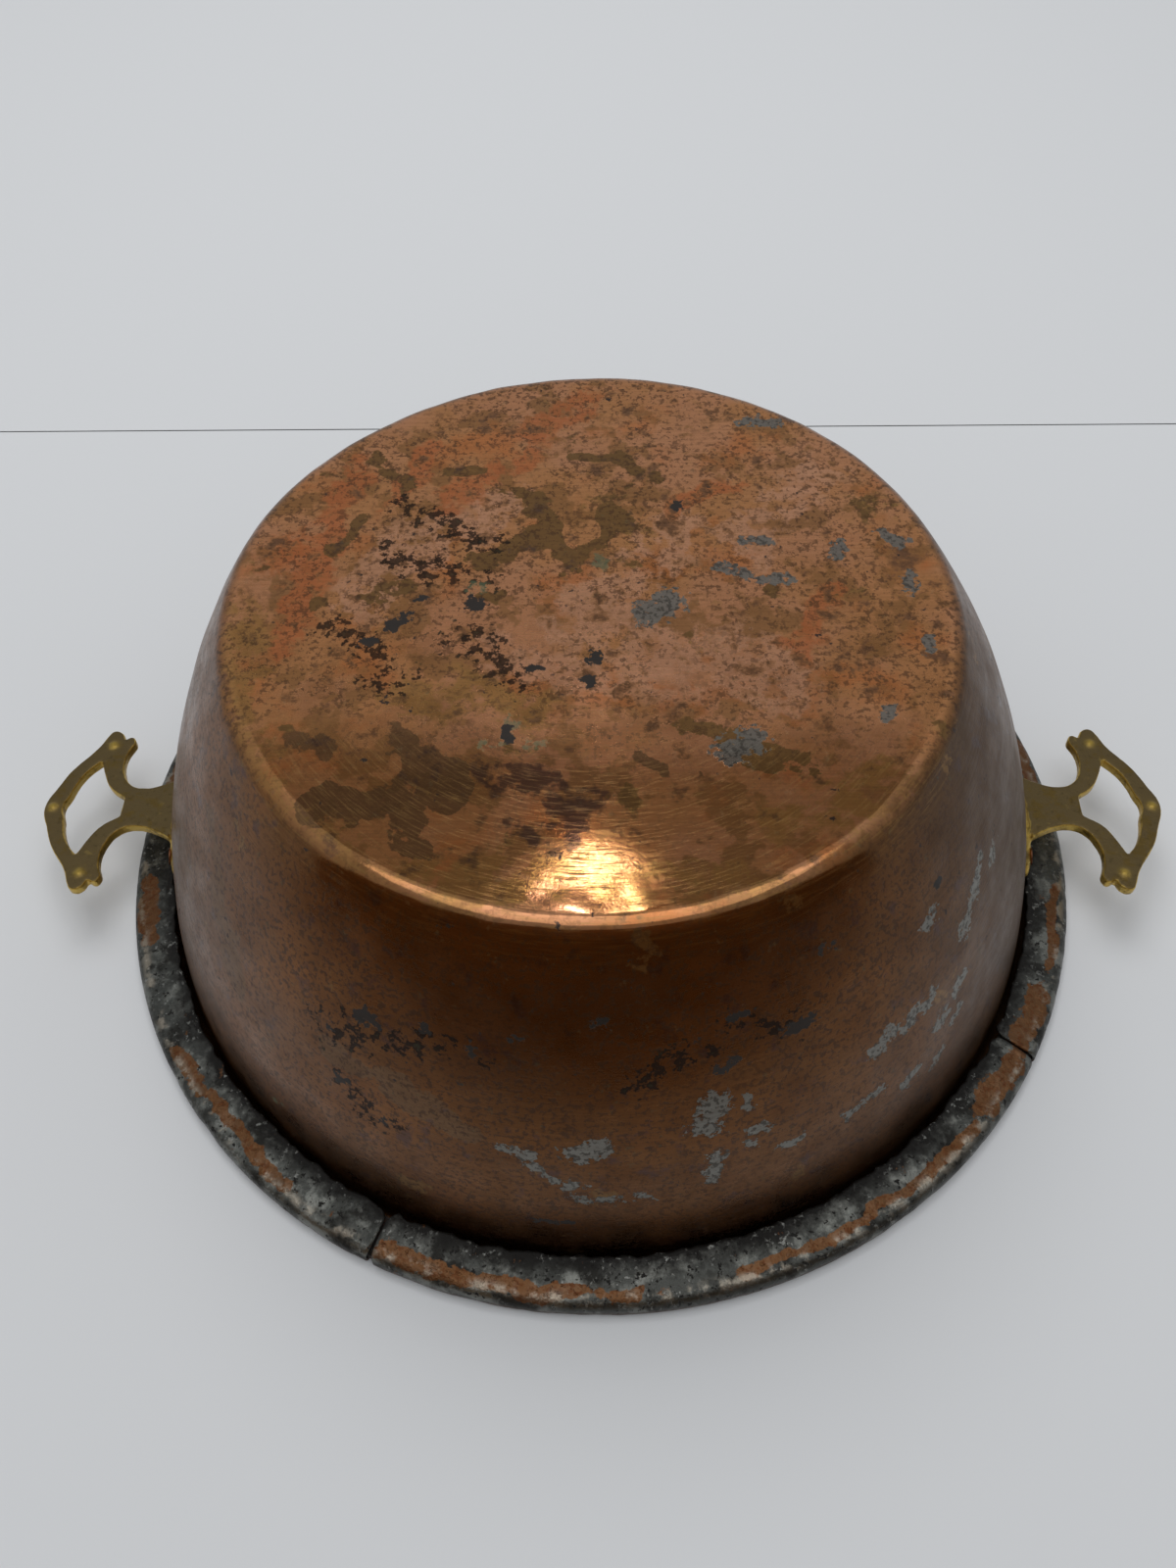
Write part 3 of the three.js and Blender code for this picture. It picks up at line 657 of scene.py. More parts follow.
def mark_copper(mesh):
    """Lays every oxide and splash on the bowl, how far down the wall and how greyed it is, and the painted shade on the
    wall's front.
    """
    wandering = wandering_places(mesh, 7 * MM)
    steady = wandering_places(mesh, 2 * MM)
    for name in sorted(BASE_STROKES | WALL_STROKES):
        strokes = [(on_base(a, b), on_base(c, d), width) for a, b, c, d, width in BASE_STROKES.get(name, [])]
        strokes += [(on_wall(a, b), on_wall(c, d), width) for a, b, c, d, width in WALL_STROKES.get(name, [])]
        lay_strokes(mesh, name, strokes, steady if name in SMALL_MARKS else wandering)
    places = np.empty(len(mesh.vertices) * 3)
    mesh.vertices.foreach_get("co", places)
    x, y, z = places.reshape(-1, 3).T
    radius = np.hypot(x, y)
    azimuth = np.degrees(np.arctan2(y, x))
    down = np.clip((radius - BASE_RADIUS + 3 * MM) / (6 * MM), 0, 1)
    lay_values(mesh, "down_the_wall", down)
    # Painted shade across the front of the wall, round its middle height.
    front = np.exp(-(((azimuth + 88) / 26) ** 2))
    ring = np.exp(-(((z - 92 * MM) / (46 * MM)) ** 2))
    lay_values(mesh, "front_wall_painted_shade", down * 0.45 * front * ring)
    right = np.exp(-(((azimuth + 22) / 26) ** 2)) + 0.2 * np.exp(-(((azimuth + 152) / 12) ** 2))
    back = np.clip((y - 0.02) / 0.12, 0, 1)
    lay_values(mesh, "greyed", down * np.clip(right + 0.35 * back, 0, 1))
    polished = np.clip((-0.045 - y) / 0.03, 0, 1) * np.clip((BASE_RADIUS + 0.01 - radius) / 0.01, 0, 1)
    lay_values(mesh, "polished_front", polished)


# ---- Bowl body ----

def bowl_body():
    """The sheet as a closed turned skin; its points keep the sheet's own outward direction."""
    outer_line = bowl_line(2 * MM)
    inner_line = bowl_line(4 * MM)
    outer_normal = line_normals(outer_line)
    inner_normal = line_normals(inner_line)
    outer_normal[0] = inner_normal[0] = (0, 1)
    outside = outer_line + outer_normal * BOWL_SHEET / 2
    inside = inner_line - inner_normal * BOWL_SHEET / 2
    profile = np.concatenate([outside, inside[::-1]])
    ways = np.concatenate([outer_normal, inner_normal[::-1]])
    around = 384
    angles = np.arange(around) * 2 * math.pi / around
    rows = len(profile)
    flat = np.stack([np.cos(angles), np.sin(angles)], axis=1)
    points = [profile_ring(profile[i], flat) for i in range(1, rows - 1)]
    turned = [profile_ring(ways[i], flat) for i in range(1, rows - 1)]
    top = len(points) * around
    vertices = np.concatenate(points + [[[0, 0, profile[0][1]]], [[0, 0, profile[-1][1]]]])
    normals = np.concatenate(turned + [[[0, 0, 1]], [[0, 0, 1]]])
    faces = []
    for i in range(rows - 3):
        for j in range(around):
            k = (j + 1) % around
            faces.append((i * around + j, (i + 1) * around + j, (i + 1) * around + k, i * around + k))
    last = (rows - 3) * around
    for j in range(around):
        k = (j + 1) % around
        faces.append((top, j, k))
        faces.append((last + j, top + 1, last + k))
    body = mesh_object("copper_bowl", vertices, faces)
    mesh = body.data
    way = mesh.attributes.new("sheet_way", "FLOAT_VECTOR", "POINT")
    way.data.foreach_set("vector", normals.ravel())
    lining = mesh.attributes.new("lining", "BOOLEAN", "FACE")
    outer_faces = (len(outside) - 2) * around
    flags = np.zeros(len(faces), bool)
    flags[outer_faces : (rows - 3) * around] = True
    flags[(rows - 3) * around + 1 :: 2] = True
    lining.data.foreach_set("value", flags)
    from_crease = np.linalg.norm(np.column_stack([np.hypot(*vertices[:, :2].T), vertices[:, 2]]) - corner, axis=1)
    lay_values(mesh, "near_the_crease", np.exp(-((from_crease / (12 * MM)) ** 2)))
    below = np.clip((BAND_HEIGHT + 12 * MM - vertices[:, 2]) / (12 * MM), 0, 1)
    lay_values(mesh, "free_sheet", 1 - below)
    mark_copper(mesh)
    beaten_out_of_round(vertices)
    mesh.vertices.foreach_set("co", vertices.ravel())
    for polygon in mesh.polygons:
        polygon.use_smooth = True
    mesh.update()
    return body


def beaten_out_of_round(points):
    """Leans the sheet to the left and swells one side of the base, as beating by hand leaves it."""
    lift = np.clip(points[:, 2] / BOWL_HEIGHT, 0, 1)
    azimuth = np.arctan2(points[:, 1], points[:, 0])
    swollen = np.exp((np.cos(azimuth - math.radians(SWOLLEN_SIDE)) - 1) / 0.1)
    points[:, :2] *= 1 + (SWELLING / BASE_RADIUS * swollen * lift**3)[:, None]
    points[:, 0] -= LEAN * lift**2


def profile_ring(place, flat):
    return np.column_stack([flat * place[0], np.full(len(flat), place[1])])


def hammered_sheet():
    """The tree that beats the sheet: broad waves, overlapping hammer marks and dents along the crease,
    always inwards, and none where the sheet is held in the rim."""
    sizes = {
        "Mark Size": 14 * MM, "Mark Depth": 0.22 * MM,
        "Wave Size": 55 * MM, "Wave Depth": 1.4 * MM,
        "Dent Size": 15 * MM, "Dent Depth": 0.7 * MM,
    }
    tree = new_shape_tree("hammered_sheet", sizes)
    given = tree.nodes.new("NodeGroupInput").outputs
    place = add(tree, "GeometryNodeInputPosition")
    scales = {
        label: add(tree, "ShaderNodeMath", {0: 1.0, 1: given[f"{label} Size"]}, operation="DIVIDE")
        for label in ("Mark", "Wave", "Dent")
    }
    marks = add(
        tree, "ShaderNodeTexVoronoi", {"Vector": place, "Scale": scales["Mark"], "Smoothness": 0.45},
        output="Distance", feature="SMOOTH_F1",
    )
    scoop = add(tree, "ShaderNodeMath", {0: marks, 1: 2.0}, operation="POWER")
    shallow = add(tree, "ShaderNodeMath", {0: 0.5, 1: scoop}, operation="SUBTRACT", use_clamp=True)
    waves = add(tree, "ShaderNodeTexNoise", {"Vector": place, "Scale": scales["Wave"], "Detail": 1.0})
    dents = add(tree, "ShaderNodeTexNoise", {"Vector": place, "Scale": scales["Dent"], "Detail": 1.0})
    crease = add(
        tree, "GeometryNodeInputNamedAttribute", {"Name": "near_the_crease"}, data_type="FLOAT",
    )
    creased = add(tree, "ShaderNodeMath", {0: dents, 1: crease}, operation="MULTIPLY")
    flat = add(tree, "ShaderNodeMath", {0: 1.0, 1: crease}, operation="SUBTRACT")
    wall = add(tree, "GeometryNodeInputNamedAttribute", {"Name": "down_the_wall"}, data_type="FLOAT")
    swung = add(tree, "ShaderNodeMath", {0: wall, 1: -0.6, 2: waves}, operation="MULTIPLY_ADD")
    waved = add(tree, "ShaderNodeMath", {0: swung, 1: flat}, operation="MULTIPLY")
    polish = add(tree, "GeometryNodeInputNamedAttribute", {"Name": "polished_front"}, data_type="FLOAT")
    kept = add(tree, "ShaderNodeMath", {0: polish, 1: -0.8, 2: 1.0}, operation="MULTIPLY_ADD")
    planished = add(tree, "ShaderNodeMath", {0: shallow, 1: kept}, operation="MULTIPLY")
    sink = 0.0
    for shape, label in ((planished, "Mark Depth"), (waved, "Wave Depth"), (creased, "Dent Depth")):
        deep = add(tree, "ShaderNodeMath", {0: shape, 1: given[label]}, operation="MULTIPLY")
        sink = add(tree, "ShaderNodeMath", {0: sink, 1: deep}, operation="ADD")
    free = add(tree, "GeometryNodeInputNamedAttribute", {"Name": "free_sheet"}, data_type="FLOAT")
    held = add(tree, "ShaderNodeMath", {0: sink, 1: free}, operation="MULTIPLY")
    inwards = add(tree, "ShaderNodeMath", {0: held, 1: -1.0}, operation="MULTIPLY")
    way = add(tree, "GeometryNodeInputNamedAttribute", {"Name": "sheet_way"}, data_type="FLOAT_VECTOR")
    shift = add(tree, "ShaderNodeVectorMath", {0: way, "Scale": inwards}, operation="SCALE")
    beaten = add(
        tree, "GeometryNodeSetPosition", {"Geometry": given["Geometry"], "Offset": shift},
    )
    real = add(tree, "GeometryNodeRealizeInstances", {"Geometry": beaten})
    skinned = add(tree, "GeometryNodeSetMaterial", {"Geometry": real, "Material": copper_skin})
    lining = add(tree, "GeometryNodeInputNamedAttribute", {"Name": "lining"}, data_type="BOOLEAN")
    lined = add(
        tree, "GeometryNodeSetMaterial", {"Geometry": skinned, "Selection": lining, "Material": tin_lining},
    )
    add(tree, "NodeGroupOutput", {"Geometry": lined})
    return tree, sizes


def wrought_bowl():
    body = run_tree(bowl_body(), *hammered_sheet())
    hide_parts("bowl_body")
    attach(body, "root")


wrought_bowl()


# ---- Rim strips ----

strip_inner = wall_point(wall_turn(BAND_HEIGHT), BOWL_SHEET / 2)[0] + STRIP_WALL_GAP


def strip_line():
    """The middle of a strip, from its lip under the flange, round the outer edge, to the wall."""
    half = STRIP_SHEET / 2
    outer = RIM_RADIUS - half
    lip = (RIM_RADIUS - STRIP_LIP, half)
    low = (RIM_RADIUS - EDGE_ROUND, half)
    side = (outer, EDGE_ROUND)
    shoulder = (RIM_RADIUS - SHOULDER_INSET, SHOULDER_HEIGHT - half)
    line = [np.array(lip)]
    line += straight(lip, low, 4)
    line += bend(low, (outer, half), side, 5)
    line += bend(side, (outer, shoulder[1]), shoulder, 7)
    line += straight(shoulder, (strip_inner, BAND_HEIGHT - half), 12)
    return np.array(line)


def strip_lumps(spot):
    """How far the strip's top stands up or sinks at this spot, from the hammer and from old solder."""
    return 0.5 * MM * noise.noise(spot / (13 * MM)) + 0.25 * MM * noise.noise(spot / (4.5 * MM))


def ragged_edge(spot):
    """How far the torn inner edge draws back from the wall at this spot."""
    tear = noise.noise(spot / (10 * MM)) + 0.7 * noise.noise(spot / (3.6 * MM))
    return 1.3 * MM * max(0.0, 0.7 + tear)


def rim_strip(number, start, end):
    """A strip with a torn inner edge, a lumpy top, worn corners and slightly lifted ends."""
    line = strip_line()
    normals = line_normals(line)
    lengths = np.concatenate([[0], np.cumsum(np.linalg.norm(np.diff(line, axis=0), axis=1))])
    share = lengths / lengths[-1]
    sweep = math.radians(end - start)
    columns = round(sweep * RIM_RADIUS / (1.5 * MM))
    skins = ([], [])
    across = []
    for i in range(columns + 1):
        for row, (place, normal) in enumerate(zip(line, normals)):
            corner_wear = 40 * MM * max(0.0, abs(2 * share[row] - 1) - 0.72) ** 2
            notch = 1.2 * MM * math.exp(-(((share[row] - 0.4) / 0.14) ** 2))
            inset = (SEAM_GAP / 2 + corner_wear + notch) / RIM_RADIUS
            angle = math.radians(start) + inset + i / columns * (sweep - 2 * inset)
            spot = Vector((math.cos(angle), math.sin(angle), 0)) * RIM_RADIUS + UP * row * 1.5 * MM
            top = max(0.0, (share[row] - 0.45) / 0.55)
            torn = top**4 * ragged_edge(Vector((spot.x, spot.y, 0)))
            end_gap = min(i, columns - i) * 1.5 * MM
            rise = min(1.0, 3 * top) * (strip_lumps(spot) + 0.7 * MM * math.exp(-end_gap / (3 * MM)))
            sunk = (1 - top) * max(0.0, strip_lumps(spot)) if 0.2 < share[row] < 0.62 else 0.0
            for points, side in zip(skins, (-1, 1)):
                reach = place + normal * (side * STRIP_SHEET / 2 + sunk)
                radius = reach[0] + torn
                points.append((math.cos(angle) * radius, math.sin(angle) * radius, reach[1] + rise))
            across.append(share[row])
    rows = len(line)
    count = len(skins[0])
    faces = []
    for i in range(columns):
        for row in range(rows - 1):
            a = i * rows + row
            b = a + rows
            faces.append((a, a + 1, b + 1, b))
            faces.append((count + a, count + b, count + b + 1, count + a + 1))
        for a in (i * rows, i * rows + rows - 1):
            faces.append((a, a + rows, count + a + rows, count + a))
    for row in range(rows - 1):
        for a in (row, columns * rows + row):
            faces.append((a, a + 1, count + a + 1, count + a))
    strip = mesh_object(f"rim_binding_{number}", skins[0] + skins[1], faces)
    mesh = strip.data
    tidy_mesh(mesh)
    across = np.array(across * 2)
    lay_values(mesh, "across_the_strip", across)
    # Where the strip turns over the shoulder: worn edge and painted highlight.
    lay_values(mesh, "worn_edge_and_painted_highlight", np.exp(-(((across - SHOULDER_SHARE) / 0.045) ** 2)))
    strokes = [(on_rim(a, inset), on_rim(b, inset), width) for a, b, inset, width in BARE_COPPER]
    lay_strokes(mesh, "bare_copper", strokes, wandering_places(mesh, 2.5 * MM))
    mesh.materials.append(rim_skin)
    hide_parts(f"rim_strip_{number}")
    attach(strip, "root")


SHOULDER_SHARE = 0.6  # where along its width a strip turns over the shoulder

# Each place where the tin is rubbed off the rim: its two azimuths in degrees, then inset and half width in mm.
BARE_COPPER = [
    (-172, -164, 6, 4), (-148, -126, 5, 2.6), (-113, -104, 4.5, 3.4), (-104, -96, 5, 3), (-96, -86, 5.5, 2.4),
    (-75, -60, 5, 2), (-59, -52, 6, 2.2), (-52, -43, 6, 2.4), (-41, -33, 6.5, 4.6), (-31, -24, 7, 4.4),
    (-20, -8, 5, 2), (2, 14, 5, 3), (24, 40, 6, 2.4), (66, 74, 5, 3), (96, 118, 5, 2.6), (130, 138, 6, 3),
    (160, 176, 5, 2.8), (84, 88, 8, 2),
]


for index, seam in enumerate(SEAM_ANGLES):
    following = SEAM_ANGLES[(index + 1) % len(SEAM_ANGLES)]
    rim_strip(index + 1, seam, following if following > seam else following + 360)


# ---- Handles ----

wall_at_blade = wall_point(wall_turn(BLADE_MIDDLE), BOWL_SHEET / 2)[0]
plate_inner = BOWL_SHEET / 2 + CLEARANCE
lobe_reach = GRIP_REACH * 0.62
neck_side = NECK_WIDTH / 2

# Half of the blade's outline, in mm outwards from the wall and sideways: a curve runs through the soft points.
BLADE_EDGE = [
    ((3, 16), "sharp"), ((8, 13.2), "soft"), ((19.5, 10), "soft"), ((25, 12), "soft"), ((29, 18), "soft"),
    ((30, 27), "soft"), ((27.6, 34.4), "sharp"), ((29.4, 37.6), "soft"), ((32.8, 36.4), "sharp"),
    ((34.6, 40), "soft"), ((38.8, 41), "soft"), ((41.4, 37.4), "sharp"), ((44, 31.5), "soft"),
    ((52.2, 20), "soft"), ((57.0, 9.4), "soft"), ((59.5, 3), "soft"),
]
WINDOW_EDGE = [
    ((26.4, 4.8), "sharp"), ((33.3, 9.6), "soft"), ((37.3, 16), "soft"), ((40.6, 24.2), "sharp"),
    ((46.3, 17), "soft"), ((48.4, 12), "soft"), ((50.2, 5), "soft"), ((51.4, 1.6), "soft"),
]


def edge_curve(curve, half):
    """A closed curve from half an outline and its mirror image."""
    stops = half + [((out, -side), kind) for (out, side), kind in half[::-1]]
    spline = curve.splines.new("BEZIER")
    spline.resolution_u = 8
    spline.bezier_points.add(len(stops) - 1)
    spline.use_cyclic_u = True
    for point, (place, kind) in zip(spline.bezier_points, stops):
        point.co = (place[0] * MM, place[1] * MM, 0)
        handle = "AUTO" if kind == "soft" else "VECTOR"
        point.handle_left_type = point.handle_right_type = handle


def blade():
    """The flat casting in plan, as a filled curve with rounded edges."""
    curve = bpy.data.curves.new("blade", "CURVE")
    curve.dimensions = "2D"
    curve.fill_mode = "BOTH"
    rounding = 0.8 * MM
    curve.extrude = BLADE_THICKNESS / 2 - rounding
    curve.bevel_depth = rounding
    curve.bevel_resolution = 3
    curve.offset = -rounding
    edge_curve(curve, BLADE_EDGE)
    edge_curve(curve, WINDOW_EDGE)
    body = bpy.data.objects.new("blade", curve)
    bpy.context.scene.collection.objects.link(body)
    body = finished(body)
    body.data.transform(Matrix.Translation((wall_at_blade, 0, BLADE_MIDDLE)))
    return body


def wall_plate():
    """The plate against the wall, with two wings that taper to rounded tips."""
    columns = 60
    rows = 12
    root = neck_side + NECK_FLARE
    tip = PLATE_SPAN / 2
    sides = ([], [])
    for i in range(columns + 1):
        along = tip * (2 * i / columns - 1)
        beyond = max(0.0, (abs(along) - root + 4 * MM) / (tip - root + 4 * MM))
        drop = (PLATE_DEPTH - WING_TIP_DEPTH) * min(1.0, beyond * 1.8) ** 0.7
        rounding = 3.5 * MM * max(0.0, (beyond - 0.8) / 0.2) ** 2
        for j in range(rows + 1):
            low = PLATE_BOTTOM + 0.6 * rounding
            high = PLATE_BOTTOM + PLATE_DEPTH - drop - rounding
            height = low + (high - low) * j / rows
            crown = PLATE_THICKNESS * (1 - 0.7 * abs(2 * j / rows - 1) ** 4) * (1 - 0.5 * beyond**4)
            for points, offset in zip(sides, (plate_inner, plate_inner + crown)):
                place = wall_point(wall_turn(height), offset)
                angle = along / place[0]
                points.append((place[0] * math.cos(angle), place[0] * math.sin(angle), place[1]))
    count = len(sides[0])
    faces = []
    for i in range(columns):
        for j in range(rows):
            a = i * (rows + 1) + j
            b = a + rows + 1
            faces.append((a, b, b + 1, a + 1))
            faces.append((count + a, count + a + 1, count + b + 1, count + b))
        for a in (i * (rows + 1), i * (rows + 1) + rows):
            faces.append((a, a + rows + 1, count + a + rows + 1, count + a))
    for j in range(rows):
        for a in (j, columns * (rows + 1) + j):
            faces.append((a, a + 1, count + a + 1, count + a))
    plate = mesh_object("plate", sides[0] + sides[1], faces)
    tidy_mesh(plate.data)
    return plate


STUD_PLACES = [(GRIP_REACH - 4 * MM, 0), (37 * MM, 33 * MM), (37 * MM, -33 * MM)]


def studs():
    """Low round studs at the point of the grip and at both of its ends."""
    work = bmesh.new()
    top = BLADE_MIDDLE + BLADE_THICKNESS / 2
    for reach, along in STUD_PLACES:
        place = Matrix.Translation((wall_at_blade + reach, along, top - 0.5 * MM))
        size = Matrix.Diagonal((1, 1, 0.55, 1))
        bmesh.ops.create_uvsphere(work, u_segments=24, v_segments=16, radius=BOSS_RADIUS, matrix=place @ size)
    mesh = bpy.data.meshes.new("studs")
    work.to_mesh(mesh)
    work.free()
    body = bpy.data.objects.new("studs", mesh)
    bpy.context.scene.collection.objects.link(body)
    return body


def joined(name, parts):
    """Several meshes as one object, which takes a name."""
    work = bmesh.new()
    for part in parts:
        work.from_mesh(part.data)
        bpy.data.objects.remove(part)
    mesh = bpy.data.meshes.new(name)
    work.to_mesh(mesh)
    work.free()
    body = bpy.data.objects.new(name, mesh)
    bpy.context.scene.collection.objects.link(body)
    return body


def cast_handle(side_name, turn):
    """One casting: blade, plate and studs run together, with soft edges and a sand-cast skin."""
    body = joined(f"brass_handle_{side_name}", [blade(), wall_plate(), studs()])
    merge = body.modifiers.new("merge", "REMESH")
    merge.mode = "VOXEL"
    merge.voxel_size = 0.6 * MM
    soften = body.modifiers.new("soften", "SMOOTH")
    soften.factor = 0.5
    soften.iterations = 3
    body = finished(body)
    mesh = body.data
    count = len(mesh.vertices)
    places = np.empty(count * 3)
    normals = np.empty(count * 3)
    mesh.vertices.foreach_get("co", places)
    mesh.vertex_normals.foreach_get("vector", normals)
    places = places.reshape(-1, 3)
    lumps = [
        0.16 * noise.noise(Vector(p) / (7 * MM)) + 0.06 * noise.noise(Vector(p) / (2.2 * MM)) - 0.12 for p in places
    ]
    places = places + normals.reshape(-1, 3) * np.array(lumps)[:, None] * MM
    mesh.vertices.foreach_set("co", places.ravel())
    rubbed = np.zeros(count)
    for reach, along in STUD_PLACES:
        away = np.hypot(places[:, 0] - wall_at_blade - reach, places[:, 1] - along)
        rubbed = np.maximum(rubbed, np.exp(-((away / (1.9 * MM)) ** 2)))
    lay_values(mesh, "rubbed_studs", rubbed * (places[:, 2] > BLADE_MIDDLE))
    mesh.transform(Matrix.Rotation(turn, 4, "Z"))
    tidy_mesh(mesh)
    mesh.materials.clear()
    mesh.materials.append(brass_skin)
    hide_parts(f"handle_{side_name}")
    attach(body, "root")


for side_name, turn in (("right", 0.0), ("left", math.pi)):
    cast_handle(side_name, turn)


# ---- Rivets ----

def rivet_tree():
    """The tree that sets a rivet at every given point: head, shank and flush end along the point's way."""
    sizes = {"Head Radius": RIVET_HEAD_RADIUS, "Head Height": RIVET_HEAD_HEIGHT,
             "Shank Radius": RIVET_RADIUS, "End Radius": RIVET_SINK_RADIUS, "Seed": 5}
    tree = new_shape_tree("rivets", sizes)
    given = tree.nodes.new("NodeGroupInput")
    grip = BOWL_SHEET + CLEARANCE + PLATE_THICKNESS
    height = add(tree, "ShaderNodeMath", {0: given.outputs["Head Height"], 1: given.outputs["Head Radius"]},
                 operation="DIVIDE")
    flatness = add(tree, "ShaderNodeCombineXYZ", {"X": 1.0, "Y": 1.0, "Z": height})
    ball = add(tree, "GeometryNodeMeshUVSphere", {"Segments": 32, "Rings": 16, "Radius": given.outputs["Head Radius"]})
    head = add(tree, "GeometryNodeTransform", {"Geometry": ball, "Scale": flatness,
               "Translation": (0, 0, -CLEARANCE - 0.2 * MM)})
    rod = add(tree, "GeometryNodeMeshCone", {"Vertices": 32, "Radius Top": given.outputs["Shank Radius"],
              "Radius Bottom": given.outputs["Shank Radius"], "Depth": grip})
    end = add(tree, "GeometryNodeMeshCone", {"Vertices": 32, "Side Segments": 2, "Fill Segments": 4,
              "Radius Top": given.outputs["End Radius"], "Radius Bottom": given.outputs["Shank Radius"],
              "Depth": 1.4 * MM})
    set_end = add(tree, "GeometryNodeTransform", {"Geometry": end, "Translation": (0, 0, grip - 1.4 * MM)})
    whole = tree.nodes.new("GeometryNodeJoinGeometry")
    for part in (head, rod, set_end):
        tree.links.new(part, whole.inputs[0])
    way = add(tree, "GeometryNodeInputNamedAttribute", {"Name": "way"}, data_type="FLOAT_VECTOR")
    turn = add(tree, "FunctionNodeAlignRotationToVector", {"Vector": way}, axis="Z")
    placed = add(tree, "GeometryNodeInstanceOnPoints",
                 {"Points": given.outputs["Geometry"], "Instance": whole.outputs[0], "Rotation": turn})
    real = add(tree, "GeometryNodeRealizeInstances", {"Geometry": placed})
    spot = add(tree, "GeometryNodeInputPosition")
    lumps = add(tree, "ShaderNodeTexNoise", {"Vector": spot, "W": given.outputs["Seed"], "Scale": 1 / (4 * MM)},
                output="Color", noise_dimensions="4D")
    centred = add(tree, "ShaderNodeVectorMath", {0: lumps, 1: (0.5, 0.5, 0.5)}, operation="SUBTRACT")
    nudge = add(tree, "ShaderNodeVectorMath", {0: centred, "Scale": 0.5 * MM}, operation="SCALE")
    beaten = add(tree, "GeometryNodeSetPosition", {"Geometry": real, "Offset": nudge})
    skinned = add(tree, "GeometryNodeSetMaterial", {"Geometry": beaten, "Material": rivet_skin})
    add(tree, "NodeGroupOutput", {"Geometry": skinned})
    return tree, sizes


def rivets():
    places = []
    ways = []
    slope = wall_turn(PLATE_BOTTOM + RIVET_RISE)
    start = wall_point(slope, -BOWL_SHEET / 2)
    for turn in (0.0, math.pi):
        for side in (-1, 1):
            angle = turn + side * RIVET_OFFSET / wall_at_blade
            outward = Vector((math.cos(angle), math.sin(angle), 0))
            places.append(outward * start[0] + UP * start[1])
            ways.append(outward * math.cos(slope) + UP * math.sin(slope))
    body = mesh_object("rivet_set", places, [])
    attribute = body.data.attributes.new("way", "FLOAT_VECTOR", "POINT")
    attribute.data.foreach_set("vector", np.array(ways).ravel())
    body = run_tree(body, *rivet_tree())
    tidy_mesh(body.data, merge=0.01 * MM)
    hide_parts("rivet_right_a", "rivet_right_b", "rivet_left_a", "rivet_left_b")
    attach(body, "root")


rivets()


# ---- Hoop ----

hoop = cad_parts["rim_hoop"]
for slot in hoop.material_slots:
    slot.material = iron_skin


# ---- Floor, light and camera ----

def stage_panel(name, corners, colour, roughness):
    panel = mesh_object(name, corners, [tuple(range(len(corners)))])
    material = bpy.data.materials.new(name)
    material.use_nodes = True
    shader = material.node_tree.nodes["Principled BSDF"]
    shader.inputs["Base Color"].default_value = linear(colour)
    shader.inputs["Roughness"].default_value = roughness
    panel.data.materials.append(material)
    return panel


floor_reach = 4.0
sheet_edge = 0.279  # where one pale sheet ends and the next begins
for name, near, far in (("table_sheet", -floor_reach, sheet_edge), ("back_sheet", sheet_edge + 0.8 * MM, floor_reach)):
    corners = [(-floor_reach, near, 0), (floor_reach, near, 0), (floor_reach, far, 0), (-floor_reach, far, 0)]
    stage_panel(name, corners, "#dedfe1", 0.7)
under = [(x * floor_reach, y * floor_reach, -2 * MM) for x, y in ((-1, -1), (1, -1), (1, 1), (-1, 1))]
stage_panel("under_the_sheets", under, "#c3c5c6", 0.8)

def reflected_card(name, corners, colour, glow):
    """A card that the metal mirrors, but that casts no shadow and takes no light from the table."""
    card = stage_panel(name, corners, "#000000", 1.0)
    shader = card.data.materials[0].node_tree.nodes["Principled BSDF"]
    shader.inputs["Specular IOR Level"].default_value = 0.0
    shader.inputs["Emission Color"].default_value = linear(colour)
    shader.inputs["Emission Strength"].default_value = glow
    card.visible_camera = False
    card.visible_shadow = False
    card.visible_diffuse = False
    return card


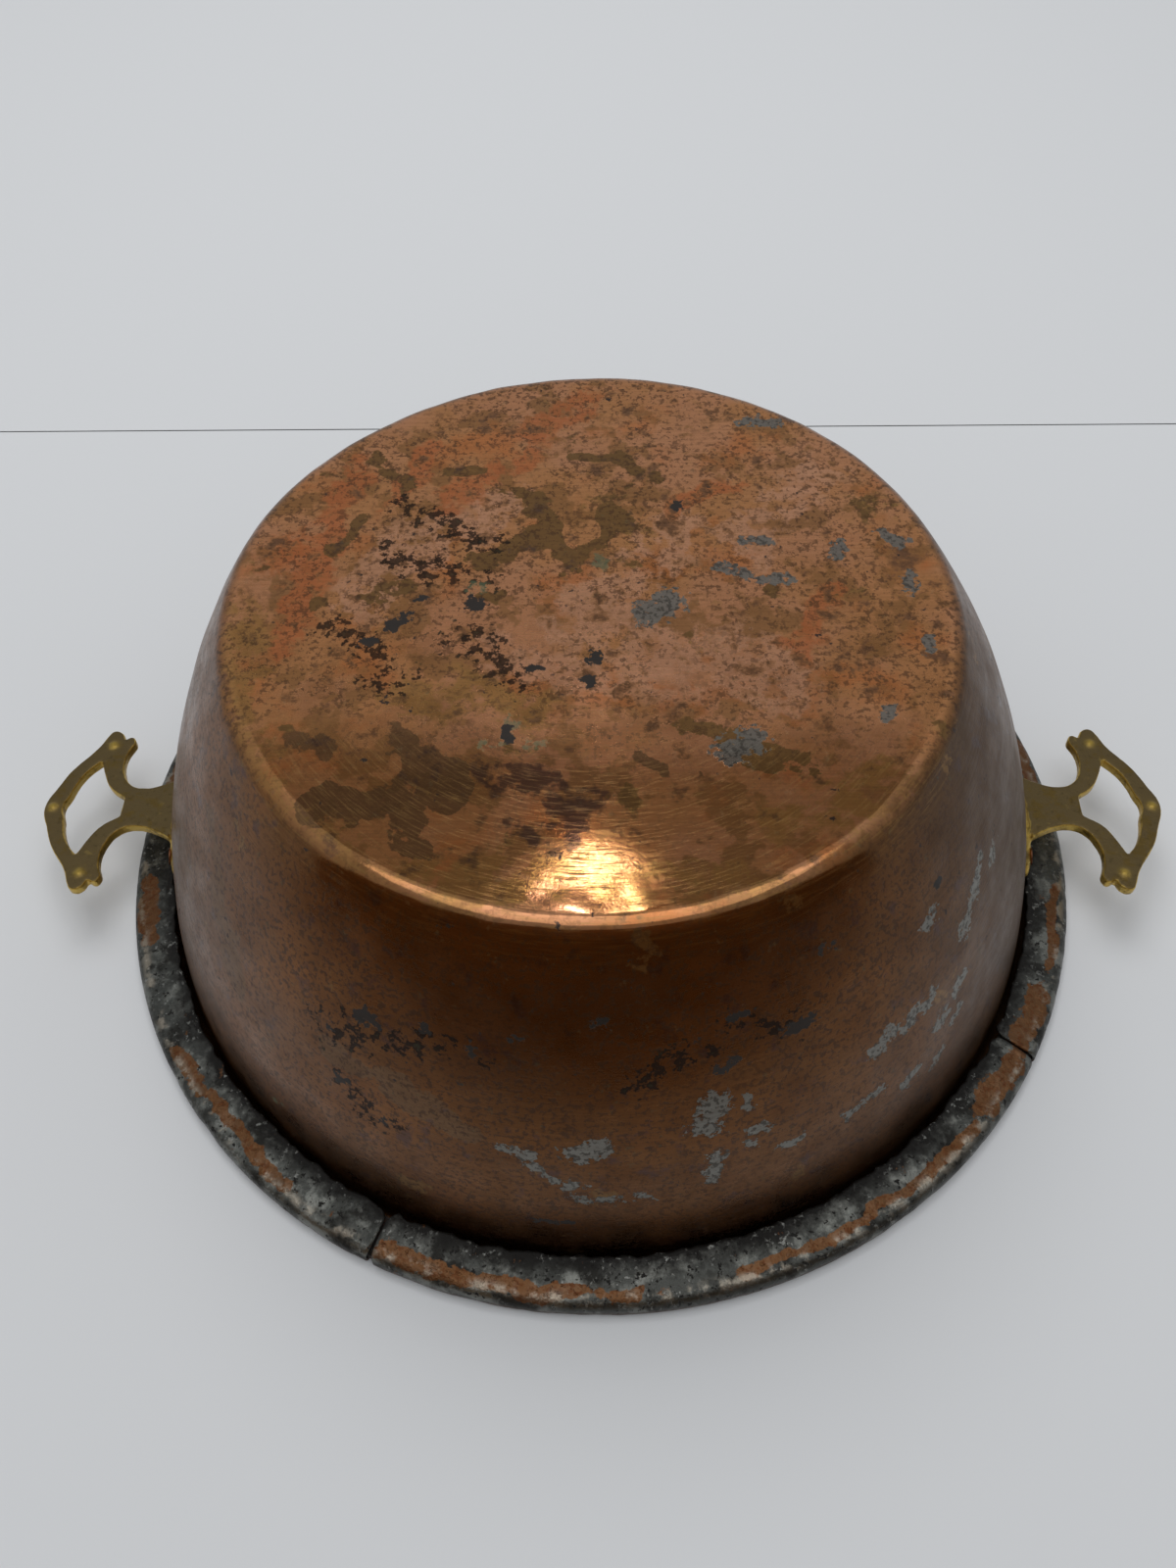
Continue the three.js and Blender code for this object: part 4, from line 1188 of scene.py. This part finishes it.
reflected_card("dim_room", [(-0.9, -0.36, 0), (0.9, -0.36, 0), (1.1, -0.8, 1.0), (-1.1, -0.8, 1.0)], "#7a6248", 0.8)
reflected_card("dim_ceiling", [(-0.55, 0.99, 1.3), (0.55, 0.99, 1.3), (0.55, 0.62, 1.56), (-0.55, 0.62, 1.56)], "#b5aea6", 0.47)


def soft_light(name, place, aim, width, depth, power):
    light = bpy.data.lights.new(name, "AREA")
    light.shape = "ELLIPSE"
    light.size = width
    light.size_y = depth
    light.energy = power
    lamp = bpy.data.objects.new(name, light)
    bpy.context.scene.collection.objects.link(lamp)
    lamp.location = place
    lamp.rotation_euler = (Vector(aim) - Vector(place)).to_track_quat("-Z", "Y").to_euler()
    return lamp


soft_light("window_light", (-0.026, 0.55, 1.27), (0, -0.11, 0.15), 0.05, 0.05, 0.15)
soft_light("overhead", (0, -0.15, 2.2), (0, -0.05, 0), 2.4, 1.5, 8.5)
back_light = soft_light("back_light", (-0.2, 1.0, 1.9), (0, 0.1, 0), 1.6, 1.2, 12)
back_light.visible_glossy = False

world = bpy.data.worlds.new("room")
world.use_nodes = True
world.node_tree.nodes["Background"].inputs["Color"].default_value = linear("#e3e6e8")
world.node_tree.nodes["Background"].inputs["Strength"].default_value = 0.585
bpy.context.scene.world = world
bpy.context.scene.view_settings.view_transform = "Standard"


def aimed_camera():
    """A hand-held camera above the front edge, tipped steeply down and rolled a touch."""
    tip = math.radians(54.46)
    swing = math.radians(-1.92)
    roll = math.radians(-1.64)
    forward = Vector((math.sin(swing) * math.cos(tip), math.cos(swing) * math.cos(tip), -math.sin(tip)))
    right = Vector((math.cos(swing), -math.sin(swing), 0))
    over = right.cross(forward)
    tilted_right = right * math.cos(roll) + over * math.sin(roll)
    tilted_over = over * math.cos(roll) - right * math.sin(roll)
    data = bpy.data.cameras.new("camera")
    data.sensor_width = 36
    data.lens = 29.6
    camera = bpy.data.objects.new("camera", data)
    bpy.context.scene.collection.objects.link(camera)
    turn = Matrix((tilted_right, tilted_over, -forward)).transposed()
    place = Vector((0.0322, -1.554, 2.3921)) * RIM_RADIUS
    camera.matrix_world = Matrix.Translation(place) @ turn.to_4x4()
    bpy.context.scene.camera = camera


aimed_camera()
